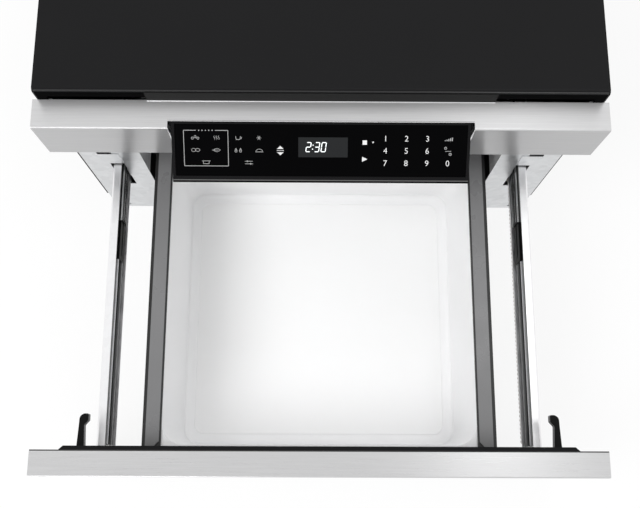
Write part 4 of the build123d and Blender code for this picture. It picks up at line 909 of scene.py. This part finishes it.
def seen_directly(tree):
    """1 for camera, glossy and transmission rays, and 0 for the rest of the light."""
    rays = tree.nodes.new("ShaderNodeLightPath")
    seen = rays.outputs["Is Camera Ray"]
    for kind in ("Is Glossy Ray", "Is Transmission Ray"):
        either = tree.nodes.new("ShaderNodeMath")
        either.operation = "MAXIMUM"
        tree.links.new(seen, either.inputs[0])
        tree.links.new(rays.outputs[kind], either.inputs[1])
        seen = either.outputs[0]
    return seen


def blend(tree, share, first, second, output_kind):
    """Surface that is the first shader where share is 0 and the second where it is 1."""
    both = tree.nodes.new("ShaderNodeMixShader")
    tree.links.new(share, both.inputs["Fac"])
    tree.links.new(first.outputs[0], both.inputs[1])
    tree.links.new(second.outputs[0], both.inputs[2])
    output = tree.nodes.new(output_kind)
    tree.links.new(both.outputs[0], output.inputs["Surface"])


FLOOR_HALF = 12.0
FLOOR_COLOUR = (0.88, 0.88, 0.88, 1)
FLOOR_GLOW = 0.86
floor_mesh = bpy.data.meshes.new("floor")
square = [(-1, -1), (1, -1), (1, 1), (-1, 1)]
floor_mesh.from_pydata(
    [(x * FLOOR_HALF, y * FLOOR_HALF, 0) for x, y in square], [], [(0, 1, 2, 3)]
)
floor = bpy.data.objects.new("floor", floor_mesh)
scene.collection.objects.link(floor)

ground = bpy.data.materials.new("floor_white")
ground.use_nodes = True
tree = ground.node_tree
tree.nodes.clear()
share = tree.nodes.new("ShaderNodeMath")
share.operation = "MULTIPLY"
share.inputs[1].default_value = FLOOR_GLOW
tree.links.new(seen_directly(tree), share.inputs[0])
dull = tree.nodes.new("ShaderNodeBsdfDiffuse")
dull.inputs["Color"].default_value = FLOOR_COLOUR
glow = tree.nodes.new("ShaderNodeEmission")
blend(tree, share.outputs[0], dull, glow, "ShaderNodeOutputMaterial")
floor_mesh.materials.append(ground)

WORLD_LIGHT = 0.72
world = bpy.data.worlds.new("studio")
scene.world = world
world.use_nodes = True
tree = world.node_tree
tree.nodes.clear()
soft = tree.nodes.new("ShaderNodeBackground")
soft.inputs["Strength"].default_value = WORLD_LIGHT
clear = tree.nodes.new("ShaderNodeBackground")
clear.inputs["Color"].default_value = (1, 1, 1, 1)
clear.inputs["Strength"].default_value = 1.0
blend(tree, seen_directly(tree), soft, clear, "ShaderNodeOutputWorld")


def lamp(name, place, aim, size, power, shows=False):
    """Square soft light at place that shines towards aim; shows lets gloss mirror it."""
    data = bpy.data.lights.new(name, "AREA")
    data.shape = "SQUARE"
    data.size = size
    data.energy = power
    light = bpy.data.objects.new(name, data)
    light.location = place
    light.visible_glossy = shows
    light.rotation_mode = "QUATERNION"
    light.rotation_quaternion = (Vector(aim) - Vector(place)).to_track_quat("-Z", "Y")
    scene.collection.objects.link(light)


lamp("key_light", (-1.35, -0.95, 2.45), (0, -0.2, 0.2), size=1.4, power=40.0)
lamp("fill_light", (1.5, -0.9, 2.2), (0, -0.1, 0.2), size=1.6, power=10.0)
lamp("back_light", (0.2, 1.8, 2.4), (0, 0.0, 0.3), size=1.4, power=18.0)
lamp("front_light", (-0.9, -3.0, 1.3), (0, 0.0, 0.3), size=1.0, power=14.0, shows=True)
lamp("side_light", (0.64, 0.0, 2.2), (0.25, -0.3, 0.2), size=0.4, power=1.6, shows=True)

# -------------------------------------------------------------------------------- camera

# fitted to the straight edges of the front, the drawer and the case
PITCH = math.radians(13.8146)
ROLL = math.radians(1.5785)
YAW = math.radians(1.3439)
FOCAL_PIXELS = 873.7
PHOTO_WIDTH = 640
SENSOR = 36.0
CAMERA_PLACE = Vector((-7.2, -506.9, 1472.0)) * MM

looking = Matrix((
    (1, 0, 0),
    (0, -math.cos(PITCH), -math.sin(PITCH)),
    (0, math.sin(PITCH), -math.cos(PITCH)),
))
right, down, ahead = Matrix.Rotation(ROLL, 3, "Z") @ looking @ Matrix.Rotation(YAW, 3, "Z")

camera_data = bpy.data.cameras.new("camera")
camera_data.sensor_fit = "HORIZONTAL"
camera_data.sensor_width = SENSOR
camera_data.lens = FOCAL_PIXELS * SENSOR / PHOTO_WIDTH
camera_data.clip_start, camera_data.clip_end = 0.05, 50.0
camera = bpy.data.objects.new("camera", camera_data)
scene.collection.objects.link(camera)
facing = Matrix((right, -down, -ahead)).transposed().to_4x4()
facing.translation = CAMERA_PLACE
camera.matrix_world = facing
scene.camera = camera
scene.view_settings.view_transform = "Standard"
